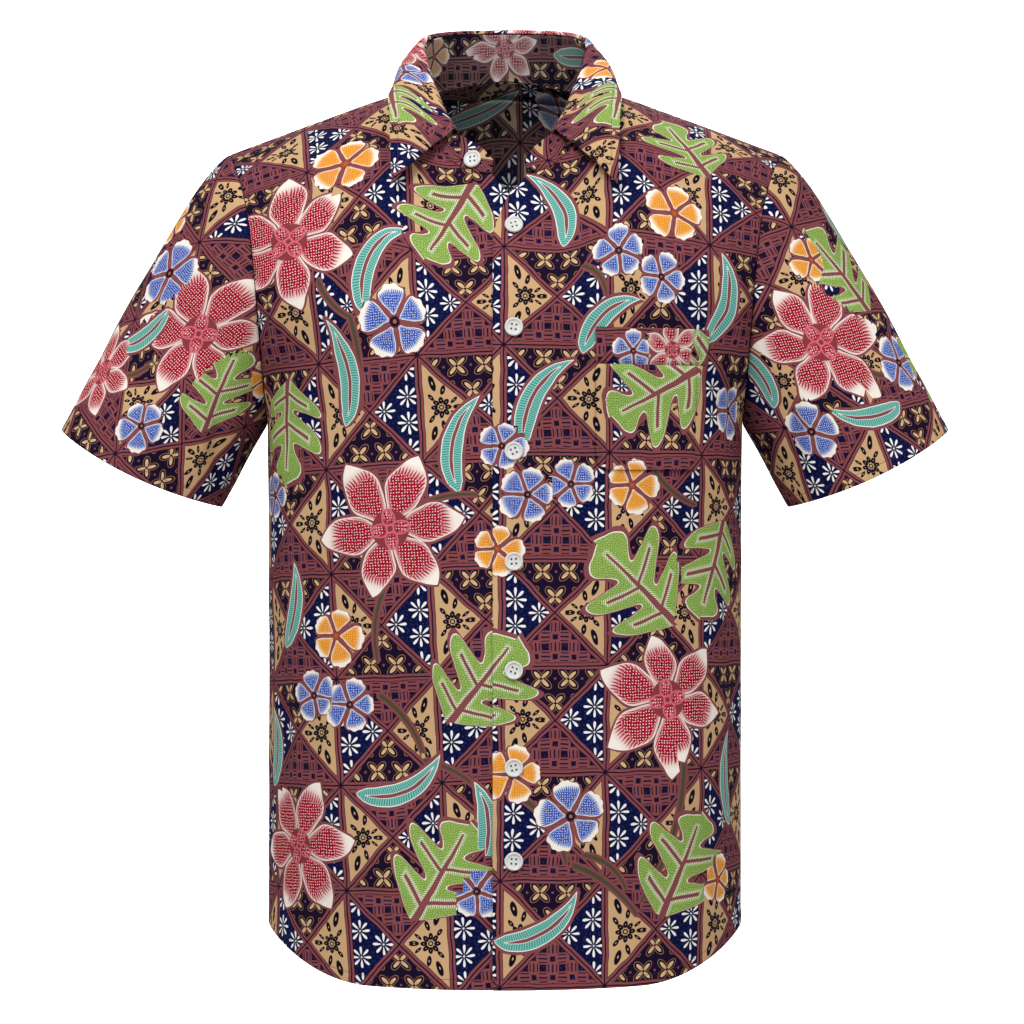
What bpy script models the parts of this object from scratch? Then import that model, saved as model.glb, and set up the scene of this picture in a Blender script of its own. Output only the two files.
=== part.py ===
"""Short-sleeved batik shirt, filled out with no wearer: hollow, buttoned, collar open.

Frame: metres, +Z up. The origin is at the neck's centre, level with the shoulder
line where the wearer holds the shirt up. The front faces -Y, and the wearer's
left side is +X.

The body is one surface, worked out from a short table of girths. A point on it has
two coordinates: theta, the angle round the body from the centre front or centre
back (0) to the side seam (90 degrees), and v, the way over the shoulder ridge
(v = 0) down the front (v < 0) or down the back (v > 0). Fronts, back and yoke are
cut from that surface along their real seams, and each is given its wall by
Solidify. Sleeves, stand and collar leaf are lofts that start at those seams.
"""

import math

import bmesh
import bpy
import numpy as np
from mathutils import Matrix, Vector

# ---------------------------------------------------------------- driving sizes
WALL = 0.0015            # cloth with its seam turnings
SEAM_GAP = 0.0006        # between two outer faces at a seam; 0.3 mm or more at the inner faces
PLY_GAP = 0.0003         # between a ply and what lies on it

CHEST_Z = -0.200         # where the chest starts to roll to the shoulder
ARCH = 0.270             # way from the shoulder ridge to the chest line
UNDERARM_Z = -0.2706
HEM_Z = -0.717           # hem at centre front and centre back
HEM_RISE = 0.034         # side seam's hem above that
HEM_RISE_FROM, HEM_RISE_OVER = math.radians(33), math.radians(52)

SHOULDER_X, SHOULDER_Z, SHOULDER_SLOPE = 0.0888, 0.0035, 0.365
FRONT_NECK_DROP, BACK_NECK_LIFT, NECK_REACH = 0.037, 0.028, 0.075

NECK_HALF_WIDTH, NECK_FRONT, NECK_BACK, NECK_SQUARE = 0.080, 0.100, 0.074, 0.9

YOKE_FRONT = 0.030       # yoke seam forward of the ridge, along v
YOKE_SEAM_Z = -0.078     # yoke seam across the back

BUTTON_D, BUTTON_T, BUTTON_RIM = 0.0146, 0.0028, 0.0018
BUTTON_HOLE_D, BUTTON_HOLE_PITCH = 0.0017, 0.0036
BUTTON_X = 0.0072        # line of the buttons, just left of the centre
BUTTON_Z = (-0.1176, -0.199, -0.296, -0.382, -0.467, -0.543, -0.616)
LAP_RUN, LAP_START = 0.016, 0.006   # the under front steps back over this way, ending this far before the lap
LAP_GAP = 0.0009         # between the two fronts where they lap

POCKET_X, POCKET_TOP_Z, POCKET_W, POCKET_H, POCKET_CORNER = 0.0713, -0.1985, 0.100, 0.112, 0.010
POCKET_WALL, POCKET_LIFT = 0.0012, 0.0008

FRONT_COLUMNS = (0, 0.05, 0.10, 0.15, 0.20, 0.26, 0.33, 0.40, 0.50, 0.61, 0.73, 0.82, 0.91, 1)
FRONT_NECK_COLUMNS = 8   # of those, the ones that end on the neck seam
ARM_ROWS, YOKE_ROWS = 8, 6   # rows of the panels along the armhole, and of the yoke
STAND_SEAM_GAP = 0.0012  # stand's foot above the neck seam, over the facets there
SLEEVE_EASE = 0.0007     # sleeve head off the armhole's edge
SLEEVE_HALF_W, SLEEVE_HALF_D = 0.0733, 0.0590
SLEEVE_HEM = (0.3005, -0.006, -0.3075)
SLEEVE_HEM_DIR = (0.900, 0.0, 0.436)
SLEEVE_FRONT_DIP = 0.007

# ---------------------------------------------------------------- short tables
# Girths of the body, each row a level.
GIRTH = {
    "z":          (-0.760, -0.600, -0.450, -0.320, -0.2706, -0.240, -0.200, -0.160, -0.100, 0.000, 0.080),
    "half_width": (0.1960, 0.1955, 0.1955, 0.1962, 0.1965, 0.2050, 0.2200, 0.2350, 0.2500, 0.2620, 0.2700),
    "front":      (0.1520, 0.1505, 0.1505, 0.1510, 0.1500, 0.1490, 0.1480, 0.1460, 0.1430, 0.1400, 0.1400),
    "back":       (0.1500, 0.1460, 0.1410, 0.1430, 0.1460, 0.1480, 0.1500, 0.1500, 0.1490, 0.1480, 0.1480),
}
# Armhole seen from the front, each row a level.
ARMHOLE = {
    "z": (-0.2706, -0.250, -0.215, -0.161, -0.106, -0.075, -0.040),
    "x": (0.1965, 0.1968, 0.1982, 0.2015, 0.2080, 0.2160, 0.2310),
}
# Edges of the two fronts at the centre, from the hem up to the neck seam.
FRONT_EDGE = {
    "z":     (-0.760, -0.150, -0.126, -0.102, -0.087, -0.075, -0.060),
    "left":  (-0.0094, -0.0094, -0.0094, -0.0016, 0.0047, 0.0120, 0.0180),
    "right": (0.0220, 0.0220, 0.0200, 0.0120, 0.0050, -0.0010, -0.0090),
}
# Collar sections from the centre back (s = 0) to the leaf's front end (s = 1).
# seam: angle round the neck seam; fold: top of the stand; edge: leaf's free edge,
# in plan, with its lift above the body.
COLLAR = {
    "s":      (0.00, 0.17, 0.31, 0.43, 0.57, 0.72, 0.87, 1.00),
    "seam":   (0.0, 32.0, 58.0, 78.0, 96.0, 116.0, 136.0, 152.0),
    "fold_x": (0.0000, 0.0370, 0.0600, 0.0672, 0.0630, 0.0560, 0.0470, 0.0372),
    "fold_y": (0.0660, 0.0565, 0.0360, 0.0150, -0.0090, -0.0330, -0.0570, -0.0780),
    "fold_z": (0.0630, 0.0608, 0.0545, 0.0440, 0.0250, 0.0025, -0.0210, -0.0400),
    "edge_x": (0.0000, 0.0500, 0.0785, 0.0890, 0.0905, 0.0912, 0.0915, 0.0905),
    "edge_y": (0.0900, 0.0760, 0.0480, 0.0190, -0.0120, -0.0420, -0.0760, -0.1130),
    "lift":   (0.0050, 0.0050, 0.0050, 0.0050, 0.0050, 0.0055, 0.0070, 0.0120),
}
# Stand beyond the leaf's end: e runs from the leaf's end (0) to the stand's end (1).
STAND_END = {
    "e": (0.00, 0.35, 0.70, 1.00),
    "x": (0.0372, 0.0290, 0.0200, 0.0125),
    "y": (-0.0780, -0.0865, -0.0940, -0.0985),
    "z": (-0.0400, -0.0455, -0.0530, -0.0625),
}
STAND_END_DEG = {"left": 169.0, "right": 174.0}
STAND_END_SHIFT = {"left": 0.004, "right": -0.003}

COLOURS = {  # name: colour, roughness
    "front": ((0.26, 0.11, 0.12), 0.85),
    "back": ((0.25, 0.10, 0.11), 0.85),
    "yoke": ((0.23, 0.10, 0.12), 0.85),
    "sleeve": ((0.28, 0.12, 0.12), 0.85),
    "stand": ((0.20, 0.09, 0.11), 0.82),
    "leaf": ((0.30, 0.13, 0.13), 0.82),
    "pocket": ((0.27, 0.12, 0.13), 0.85),
    "button": ((0.90, 0.89, 0.86), 0.30),
}


# ---------------------------------------------------------------- tables
def slopes(x, y):
    """Slopes of a monotone cubic through a table's points."""
    h, d = np.diff(x), np.diff(y) / np.diff(x)
    m = np.zeros(len(x))
    for i in range(1, len(x) - 1):
        if d[i - 1] * d[i] > 0:
            w1, w2 = 2 * h[i] + h[i - 1], h[i] + 2 * h[i - 1]
            m[i] = (w1 + w2) / (w1 / d[i - 1] + w2 / d[i])
    m[0], m[-1] = d[0], d[-1]
    return m


def read(table, key, column, at):
    """A table's column at a value of its key column, smoothly."""
    x, y = np.array(table[key], float), np.array(table[column], float)
    m = slopes(x, y)
    at = np.clip(np.asarray(at, float), x[0], x[-1])
    i = np.clip(np.searchsorted(x, at) - 1, 0, len(x) - 2)
    h = x[i + 1] - x[i]
    t = (at - x[i]) / h
    return ((1 + 2 * t) * (1 - t) ** 2 * y[i] + t * (1 - t) ** 2 * h * m[i]
            + t * t * (3 - 2 * t) * y[i + 1] + t * t * (t - 1) * h * m[i + 1])


def smooth(t):
    t = np.clip(t, 0.0, 1.0)
    return t * t * (3 - 2 * t)


# ---------------------------------------------------------------- the body's surface
def ridge(x):
    """Height of the shoulder line at x, rounded over the neck's centre."""
    return SHOULDER_Z - SHOULDER_SLOPE * (np.sqrt(x * x + 0.0002) - SHOULDER_X)


def body(theta, v, half=None):
    """Points of the body's surface. half is -1 for the front and +1 for the back."""
    theta, v = np.broadcast_arrays(np.asarray(theta, float), np.asarray(v, float))
    side = np.where(v < 0, -1.0, 1.0) if half is None else np.full(v.shape, float(half))
    way = np.abs(v)
    phi = np.clip(1 - way / ARCH, 0, 1) * math.pi / 2
    z = np.where(way > ARCH, CHEST_Z - (way - ARCH), -0.1)
    for _ in range(12):
        x = read(GIRTH, "z", "half_width", z) * np.sin(theta)
        bell = np.exp(-((np.abs(x) / NECK_REACH) ** 4))
        shift = np.where(side < 0, -FRONT_NECK_DROP, BACK_NECK_LIFT) * bell * np.sin(2 * phi)
        z = np.where(way > ARCH, CHEST_Z - (way - ARCH),
                     CHEST_Z + (ridge(x) - CHEST_Z) * np.sin(phi) + shift)
    deep = np.where(side < 0, read(GIRTH, "z", "front", z), read(GIRTH, "z", "back", z))
    return np.stack([x, side * deep * np.cos(theta) * np.cos(phi), z], -1)


def body_normal(theta, v, half=None):
    e = 1e-4
    a = body(theta + e, v, half) - body(theta - e, v, half)
    b = body(theta, v + e, half) - body(theta, v - e, half)
    n = np.cross(a, b)
    n /= np.linalg.norm(n, axis=-1, keepdims=True)
    p = body(theta, v, half)
    out = p - np.array([0, 0, -0.35])
    out[..., 2] = np.maximum(out[..., 2] - 0.15, 0.0)
    flip = np.sum(n * out, -1, keepdims=True) < 0
    return np.where(flip, -n, n)


def under_plan(x, y):
    """(theta, v) of the body's point at a place in plan."""
    x, y = np.broadcast_arrays(np.asarray(x, float), np.asarray(y, float))
    z = np.full(x.shape, -0.03)
    for _ in range(60):
        theta = np.arcsin(np.clip(x / read(GIRTH, "z", "half_width", z), -1, 1))
        deep = np.where(y < 0, read(GIRTH, "z", "front", z), read(GIRTH, "z", "back", z))
        phi = np.arccos(np.clip(np.abs(y) / (deep * np.cos(theta)), 0, 1))
        v = np.where(y < 0, -1, 1) * ARCH * (1 - phi / (math.pi / 2))
        z = 0.5 * z + 0.5 * body(theta, v, None)[..., 2]
    return theta, v


def at_level(theta, z, half):
    """v where the body's line at theta reaches height z."""
    low, high = np.zeros(np.shape(theta)), np.full(np.shape(theta), 0.9)
    for _ in range(40):
        mid = (low + high) / 2
        above = body(theta, half * mid, half)[..., 2] > z
        low, high = np.where(above, mid, low), np.where(above, high, mid)
    return half * (low + high) / 2


def neck(deg, side=1):
    """(theta, v) of the neck seam at an angle from the centre back."""
    a = np.radians(np.asarray(deg, float))
    c = np.cos(a)
    x = NECK_HALF_WIDTH * np.abs(np.sin(a)) ** NECK_SQUARE * np.sign(np.sin(a)) * side
    y = np.where(c > 0, NECK_BACK, NECK_FRONT) * np.sign(c) * np.abs(c) ** NECK_SQUARE
    return under_plan(x, y)


def arm_edge(f, half):
    """(theta, v) of the armhole from the shoulder point (f = 0) to the underarm."""
    f = np.asarray(f, float)
    x = np.full(f.shape, 0.228)
    for _ in range(20):
        top = ridge(x)
        z_top = SHOULDER_Z - SHOULDER_SLOPE * (0.2275 - SHOULDER_X)
        z = z_top + (UNDERARM_Z - z_top) * (1 - np.cos(math.pi * f)) / 2
        x = read(ARMHOLE, "z", "x", z)
    theta = np.arcsin(np.clip(x / read(GIRTH, "z", "half_width", z), -1, 1))
    rise = np.clip((z - CHEST_Z) / (top - CHEST_Z), 0, 1)
    way = np.where(z > CHEST_Z, ARCH * (1 - np.arcsin(rise) / (math.pi / 2)), ARCH + CHEST_Z - z)
    theta = np.where(f >= 1, math.pi / 2, theta)
    return theta, half * way


def arm_fraction(test):
    """The armhole's f where test(theta, v) turns true going down."""
    low, high = 0.0, 1.0
    for _ in range(50):
        mid = (low + high) / 2
        if test(mid):
            high = mid
        else:
            low = mid
    return (low + high) / 2


def yoke_fractions():
    """The armhole's f at the yoke's front seam and at its back seam."""
    return (arm_fraction(lambda f: arm_edge(f, -1)[1] < -YOKE_FRONT),
            arm_fraction(lambda f: body(*arm_edge(f, 1), 1)[2] < YOKE_SEAM_Z))


def arm_steps():
    """f of every point that the panels and the sleeve share round the armhole, from
    the shoulder point: down the front, and down the back."""
    f_front, f_back = yoke_fractions()
    front = np.concatenate([np.linspace(0, f_front, 3)[:-1], np.linspace(f_front, 1, ARM_ROWS + 1)])
    back = np.concatenate([np.linspace(0, f_back, YOKE_ROWS - 1)[:-1], np.linspace(f_back, 1, ARM_ROWS + 1)])
    return front, back


def shoulder_run():
    """Steps from the neck to the armhole that a front and the yoke share at their seam."""
    c = np.array(FRONT_COLUMNS[FRONT_NECK_COLUMNS:])
    return (c - c[0]) / (1 - c[0])


def hem_way(theta):
    z = HEM_Z + HEM_RISE * smooth((np.abs(theta) - HEM_RISE_FROM) / HEM_RISE_OVER)
    return ARCH + CHEST_Z - z


# ---------------------------------------------------------------- panels in (theta, v)
def patch(top, bottom, left, right, s=None):
    """Coons patch between four rows of (theta, v) points."""
    top, bottom, left, right = (np.stack(e, -1) for e in (top, bottom, left, right))
    s = (np.linspace(0, 1, len(top)) if s is None else s)[None, :, None]
    t = np.linspace(0, 1, len(left))[:, None, None]
    return ((1 - t) * top[None] + t * bottom[None] + (1 - s) * left[:, None] + s * right[:, None]
            - (1 - s) * (1 - t) * top[0] - s * (1 - t) * top[-1]
            - (1 - s) * t * bottom[0] - s * t * bottom[-1])


def retract(grid, edges, by=SEAM_GAP / 2):
    """Draws a grid's seam edges in along the cloth: 'top', 'bottom', 'left', 'right'."""
    g = grid.copy()
    moves = {"top": (0, 1, 0), "bottom": (-1, -2, 0), "left": (0, 1, 1), "right": (-1, -2, 1)}
    for edge in edges:
        at, to, axis = moves[edge]
        a = g[at] if axis == 0 else g[:, at]
        b = g[to] if axis == 0 else g[:, to]
        d = b - a
        d = d / np.linalg.norm(d, axis=-1, keepdims=True)
        if axis == 0:
            g[at] = a + d * by
        else:
            g[:, at] = a + d * by
    return g


def front_grid(which, upper=ARM_ROWS, lower=9):
    """A front's outer face. which is left (+X, on top) or right (-X, under)."""
    mirror = 1 if which == "left" else -1
    across, neck_columns = np.array(FRONT_COLUMNS), FRONT_NECK_COLUMNS
    columns = len(across) - 1
    end_deg = STAND_END_DEG[which]
    end = neck(end_deg)
    end_z = float(body(*end)[2])
    edge_x0 = float(read(FRONT_EDGE, "z", which, end_z)) * mirror
    # the neck seam runs from the centre edge to the yoke seam
    corner = 90.0
    lo, hi = 90.0, 130.0
    for _ in range(40):
        corner = (lo + hi) / 2
        if neck(corner)[1] > -YOKE_FRONT:
            lo = corner
        else:
            hi = corner
    seam = neck(np.linspace(end_deg, corner, neck_columns + 1))
    f0 = yoke_fractions()[0]
    arm0 = arm_edge(f0, -1)
    run = shoulder_run()[1:]
    top = (np.append(seam[0], seam[0][-1] + (arm0[0] - seam[0][-1]) * run),
           np.append(seam[1], np.full(len(run), -YOKE_FRONT)))
    v_u = -(ARCH + CHEST_Z - UNDERARM_Z)

    def centre(v):
        z = body(0.0, v, -1)[..., 2]
        x = read(FRONT_EDGE, "z", which, z) * mirror
        return np.arcsin(x / read(GIRTH, "z", "half_width", z))

    v_left = np.linspace(float(seam[1][0]), v_u, upper + 1)
    left = [centre(v_left), v_left]
    blend = smooth(1 - (v_left - v_left[0]) / (-0.03))   # the edge starts at the seam's end
    left[0] = left[0] + (float(seam[0][0]) - left[0][0]) * blend
    right = arm_edge(np.linspace(f0, 1, upper + 1), -1)
    bottom = (left[0][-1] + (math.pi / 2 - left[0][-1]) * across, np.full(columns + 1, v_u))
    grid = patch(top, bottom, left, right, across)
    t = np.linspace(0, 1, lower + 1)[1:, None]
    theta0 = bottom[0][None, :]
    v_low = v_u + (-hem_way(theta0) - v_u) * t
    theta_low = np.broadcast_to(theta0, v_low.shape).copy()
    grid = np.concatenate([grid, np.stack([theta_low, v_low], -1)])
    theta, v = grid[..., 0], grid[..., 1]
    points = body(theta, v, -1)
    if which == "right":  # its edge passes under the other front
        points[..., 0] *= -1
        normal = body_normal(theta, v, -1)
        normal[..., 0] *= -1
        over = read(FRONT_EDGE, "z", "left", points[..., 2])
        under = smooth((points[..., 0] - over + LAP_RUN + LAP_START) / LAP_RUN)
        points = points - normal * ((WALL + LAP_GAP) * under)[..., None]
    points = retract(points, ("top",), by=SEAM_GAP)
    return retract(points, ("right",))


def back_grid(columns=22, upper=ARM_ROWS, lower=9):
    f0 = yoke_fractions()[1]
    a = arm_edge(f0, 1)
    s = np.linspace(-1, 1, columns + 1)
    th = s * float(a[0])
    top = (th, at_level(th, YOKE_SEAM_Z, 1))
    v_u = ARCH + CHEST_Z - UNDERARM_Z
    arm = arm_edge(np.linspace(f0, 1, upper + 1), 1)
    bottom = (s * math.pi / 2, np.full(columns + 1, v_u))
    grid = patch(top, bottom, (-arm[0], arm[1]), arm)
    t = np.linspace(0, 1, lower + 1)[1:, None]
    theta0 = bottom[0][None, :]
    v_low = v_u + (hem_way(theta0) - v_u) * t
    grid = np.concatenate([grid, np.stack([np.broadcast_to(theta0, v_low.shape), v_low], -1)])
    points = body(grid[..., 0], grid[..., 1], 1)
    return retract(points, ("top", "left", "right"))


def yoke_grid(neck_columns=14, rows=YOKE_ROWS):
    """Yoke: from the back seam over the ridge to the front seams, round the neck."""
    f_front, f_back = yoke_fractions()
    lo, hi = 90.0, 130.0
    for _ in range(40):
        corner = (lo + hi) / 2
        if neck(corner)[1] > -YOKE_FRONT:
            lo = corner
        else:
            hi = corner
    turn = neck(np.linspace(-corner, corner, neck_columns + 1))
    arm = arm_edge(f_front, -1)
    run = shoulder_run()[:0:-1]
    side_columns = len(run)
    th_side = turn[0][-1] + (float(arm[0]) - turn[0][-1]) * run
    inner = (np.concatenate([-th_side, turn[0], th_side[::-1]]),
             np.concatenate([np.full(side_columns, -YOKE_FRONT), turn[1], np.full(side_columns, -YOKE_FRONT)]))
    back_arm = arm_edge(f_back, 1)
    n = len(inner[0])
    th = np.linspace(-1, 1, n) * float(back_arm[0])
    outer = (th, at_level(th, YOKE_SEAM_Z, 1))
    # the short ends run down the armholes, over the shoulder point
    a_f = np.linspace(f_front, 0, 3)
    front_part = arm_edge(a_f, -1)
    back_part = arm_edge(np.linspace(0, f_back, rows - 1)[1:], 1)
    side = (np.concatenate([front_part[0], back_part[0]]), np.concatenate([front_part[1], back_part[1]]))
    grid = patch(inner, outer, (-side[0], side[1]), side)
    points = body(grid[..., 0], grid[..., 1])
    return retract(points, ("top", "bottom", "left", "right"))


# ---------------------------------------------------------------- sleeve
def sleeve_grid(mirror, along=8):
    """Rings from the armhole to the sleeve hem, from a curve for each line along it."""
    f_front, f_back = arm_steps()
    front = body(*arm_edge(f_front, -1), -1)
    back = body(*arm_edge(f_back, 1), 1)
    start = np.concatenate([front, back[-2:0:-1]])
    a = np.concatenate([math.pi * f_front, 2 * math.pi - math.pi * f_back[-2:0:-1]])
    e1, e2 = np.array(SLEEVE_HEM_DIR), np.array([0.0, -1.0, 0.0])
    e1 = e1 / np.linalg.norm(e1)
    down = np.array([e1[2], 0, -e1[0]])
    end = (np.array(SLEEVE_HEM) + np.cos(a)[:, None] * e1 * SLEEVE_HALF_W
           + np.sin(a)[:, None] * e2 * SLEEVE_HALF_D
           + np.clip(np.sin(a), 0, 1)[:, None] ** 2 * down * SLEEVE_FRONT_DIP)
    length = np.linalg.norm(end - start, axis=1)[:, None]
    top = (1 + np.cos(a)[:, None]) / 2                   # 1 at the shoulder, 0 at the underarm
    lean = np.array([0.93, 0.0, -0.34]) * top + np.array([0.50, 0.0, -0.86]) * (1 - top)
    lean = lean + np.abs(np.sin(a))[:, None] * np.array([0.30, 0.0, 0.0]) * (1 - 0.5 * top)
    lean = lean + np.sin(a)[:, None] * np.array([0.0, -0.30, 0.0]) * (1 - 0.5 * top)
    lean = lean / np.linalg.norm(lean, axis=1, keepdims=True)
    pull = 0.085 * top + 0.060 * (1 - top)
    fall = np.array([0.490, 0.0, -0.872])
    k = np.linspace(0, 1, along + 1)[:, None, None]
    grid = ((1 + 2 * k) * (1 - k) ** 2 * start + k * (1 - k) ** 2 * (lean * pull)
            + k * k * (3 - 2 * k) * end + k * k * (k - 1) * (fall * length * 1.05))
    grid[..., 0] += SLEEVE_EASE
    if mirror:
        grid[..., 0] *= -1
    return grid


# ---------------------------------------------------------------- collar
def stand_grid(columns=17, end_columns=4, rows=4):
    """Collar stand's outer face, from its top down to the neck seam."""
    s = np.linspace(0, 1, columns + 1)
    e = np.linspace(0, 1, end_columns + 1)[1:]

    def half(which):
        sign = 1 if which == "left" else -1
        foot = read(COLLAR, "s", "seam", s)
        foot = np.append(foot, 152.0 + (STAND_END_DEG[which] - 152.0) * e)
        low = body(*neck(foot))
        high = np.stack([read(COLLAR, "s", c, s) for c in ("fold_x", "fold_y", "fold_z")], -1)
        end = np.stack([read(STAND_END, "e", c, e) for c in "xyz"], -1)
        end[:, 0] += e * STAND_END_SHIFT[which]
        high = np.concatenate([high, end])
        low[:, 0] *= sign
        high[:, 0] *= sign
        return low, high

    (l_low, l_high), (r_low, r_high) = half("left"), half("right")
    low = np.concatenate([r_low[:0:-1], l_low])
    high = np.concatenate([r_high[:0:-1], l_high])
    t = np.linspace(0, 1, rows + 1)[:, None, None]
    grid = high * (1 - t) + low * t
    rise = (high - low)
    rise /= np.linalg.norm(rise, axis=1, keepdims=True)
    grid[-1] += rise * STAND_SEAM_GAP
    return grid


def leaf_grid(columns=17):
    """Collar leaf's outer face: over the fold, then down to its free edge."""
    s = np.linspace(0, 1, columns + 1)
    fold = np.stack([read(COLLAR, "s", c, s) for c in ("fold_x", "fold_y", "fold_z")], -1)
    plan = [read(COLLAR, "s", c, s) for c in ("edge_x", "edge_y")]
    edge = body(*under_plan(*plan))
    edge[:, 2] += read(COLLAR, "s", "lift", s)
    out = edge - fold
    out[:, 2] = 0
    out /= np.linalg.norm(out, axis=1, keepdims=True)
    up = np.array([0.0, 0.0, 1.0])
    spring = 1 - 0.75 * s[:, None] ** 2                  # the fold is rounder at the back
    rows = [fold + up * 0.0012 - out * 0.0002, fold + up * 0.0040 + out * 0.0016,
            fold + up * 0.0042 + out * 0.0048, fold + up * 0.0012 + out * 0.0082]
    drop = edge - rows[-1]
    for t in (0.2, 0.42, 0.64, 0.84, 1.0):
        rows.append(rows[3] + drop * t + (out * 0.006 + up * 0.003) * spring * math.sin(math.pi * t))
    grid = np.stack(rows)
    other = grid[:, :0:-1] * np.array([-1, 1, 1])
    return np.concatenate([other, grid], 1)


# ---------------------------------------------------------------- pocket and buttons
def arc_theta(z, x0, length):
    """theta reached by going a length round the front from x0 at level z."""
    a, b = float(read(GIRTH, "z", "half_width", z)), float(read(GIRTH, "z", "front", z))
    theta = math.asin(x0 / a)
    for _ in range(200):
        theta += length / 200 / math.hypot(a * math.cos(theta), b * math.sin(theta))
    return theta


def pocket_grid(columns=8, rows=9):
    s = np.linspace(0, 1, columns + 1)
    t = np.linspace(0, 1, rows + 1)
    grid = np.zeros((rows + 1, columns + 1, 3))
    for j, tj in enumerate(t):
        low = max(0.0, tj * POCKET_H - (POCKET_H - POCKET_CORNER))
        trim = POCKET_CORNER - math.sqrt(max(POCKET_CORNER**2 - low**2, 0)) * 1.0
        trim = min(trim, POCKET_CORNER * 0.8)
        z = POCKET_TOP_Z - tj * POCKET_H
        for i, si in enumerate(s):
            way = trim + (POCKET_W - 2 * trim) * si
            theta = arc_theta(z, POCKET_X, way)
            v = at_level(np.array(theta), z, -1)
            grid[j, i] = body(theta, v, -1) + body_normal(theta, v, -1) * (POCKET_LIFT + POCKET_WALL)
    return grid


def button_mesh():
    """A turned button with a raised rim and four holes."""
    r, t, d = BUTTON_D / 2, BUTTON_T, BUTTON_RIM
    outline = [(0, 0), (r - 0.0012, 0), (r, 0.0010), (r, t - 0.0007), (r - 0.0008, t),
               (r - d, t), (r - d - 0.0010, t - 0.0009), (0, t - 0.0009)]
    data = bpy.data.meshes.new("button_profile")
    data.from_pydata([(x, 0, z) for x, z in outline], [(i, i + 1) for i in range(len(outline) - 1)], [])
    turned = bpy.data.objects.new("button_turned", data)
    screw = turned.modifiers.new("turn", "SCREW")
    screw.steps = screw.render_steps = 20
    screw.use_merge_vertices, screw.merge_threshold = True, 0.00001
    screw.use_normal_calculate = True
    cutter_data = bpy.data.meshes.new("button_holes")
    bm = bmesh.new()
    for k in range(4):
        a = math.pi / 4 + k * math.pi / 2
        q = BUTTON_HOLE_PITCH / math.sqrt(2)
        bmesh.ops.create_cone(bm, cap_ends=True, segments=6, radius1=BUTTON_HOLE_D / 2,
                              radius2=BUTTON_HOLE_D / 2, depth=BUTTON_T * 3,
                              matrix=Matrix.Translation((math.cos(a) * q, math.sin(a) * q, BUTTON_T / 2)))
    bm.to_mesh(cutter_data)
    bm.free()
    cutter = bpy.data.objects.new("button_holes", cutter_data)
    cut = turned.modifiers.new("holes", "BOOLEAN")
    cut.operation, cut.object, cut.solver = "DIFFERENCE", cutter, "EXACT"
    for o in (turned, cutter):
        bpy.context.scene.collection.objects.link(o)
    bpy.context.view_layer.update()
    graph = bpy.context.evaluated_depsgraph_get()
    mesh = bpy.data.meshes.new_from_object(turned.evaluated_get(graph), depsgraph=graph)
    mesh.name = "button"
    for o in (turned, cutter):
        bpy.data.objects.remove(o)
    bm = bmesh.new()
    bm.from_mesh(mesh)
    bmesh.ops.recalc_face_normals(bm, faces=bm.faces)
    bm.to_mesh(mesh)
    bm.free()
    return mesh


# ---------------------------------------------------------------- objects
def material(name):
    colour, rough = COLOURS[name]
    m = bpy.data.materials.get(name) or bpy.data.materials.new(name)
    m.use_nodes = True
    p = m.node_tree.nodes["Principled BSDF"]
    p.inputs["Base Color"].default_value = (*colour, 1)
    p.inputs["Roughness"].default_value = rough
    p.inputs["Metallic"].default_value = 0.0
    return m


def sheet(name, grid, mat, home, wall=WALL, ring=False, flip=False):
    """A piece of cloth: its outer face from a grid of points, its wall by Solidify."""
    rows, cols = grid.shape[:2]
    data = bpy.data.meshes.new(name)
    faces = []
    for j in range(rows - 1):
        for i in range(cols if ring else cols - 1):
            k = (i + 1) % cols
            q = [j * cols + i, (j + 1) * cols + i, (j + 1) * cols + k, j * cols + k]
            faces.append(q[::-1] if flip else q)
    data.from_pydata([tuple(p) for p in grid.reshape(-1, 3)], [], faces)
    data.materials.append(material(mat))
    data.shade_smooth()
    o = bpy.data.objects.new(name, data)
    home.objects.link(o)
    solid = o.modifiers.new("wall", "SOLIDIFY")
    solid.thickness, solid.offset = wall, -1.0
    solid.use_rim = True
    return o


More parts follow.
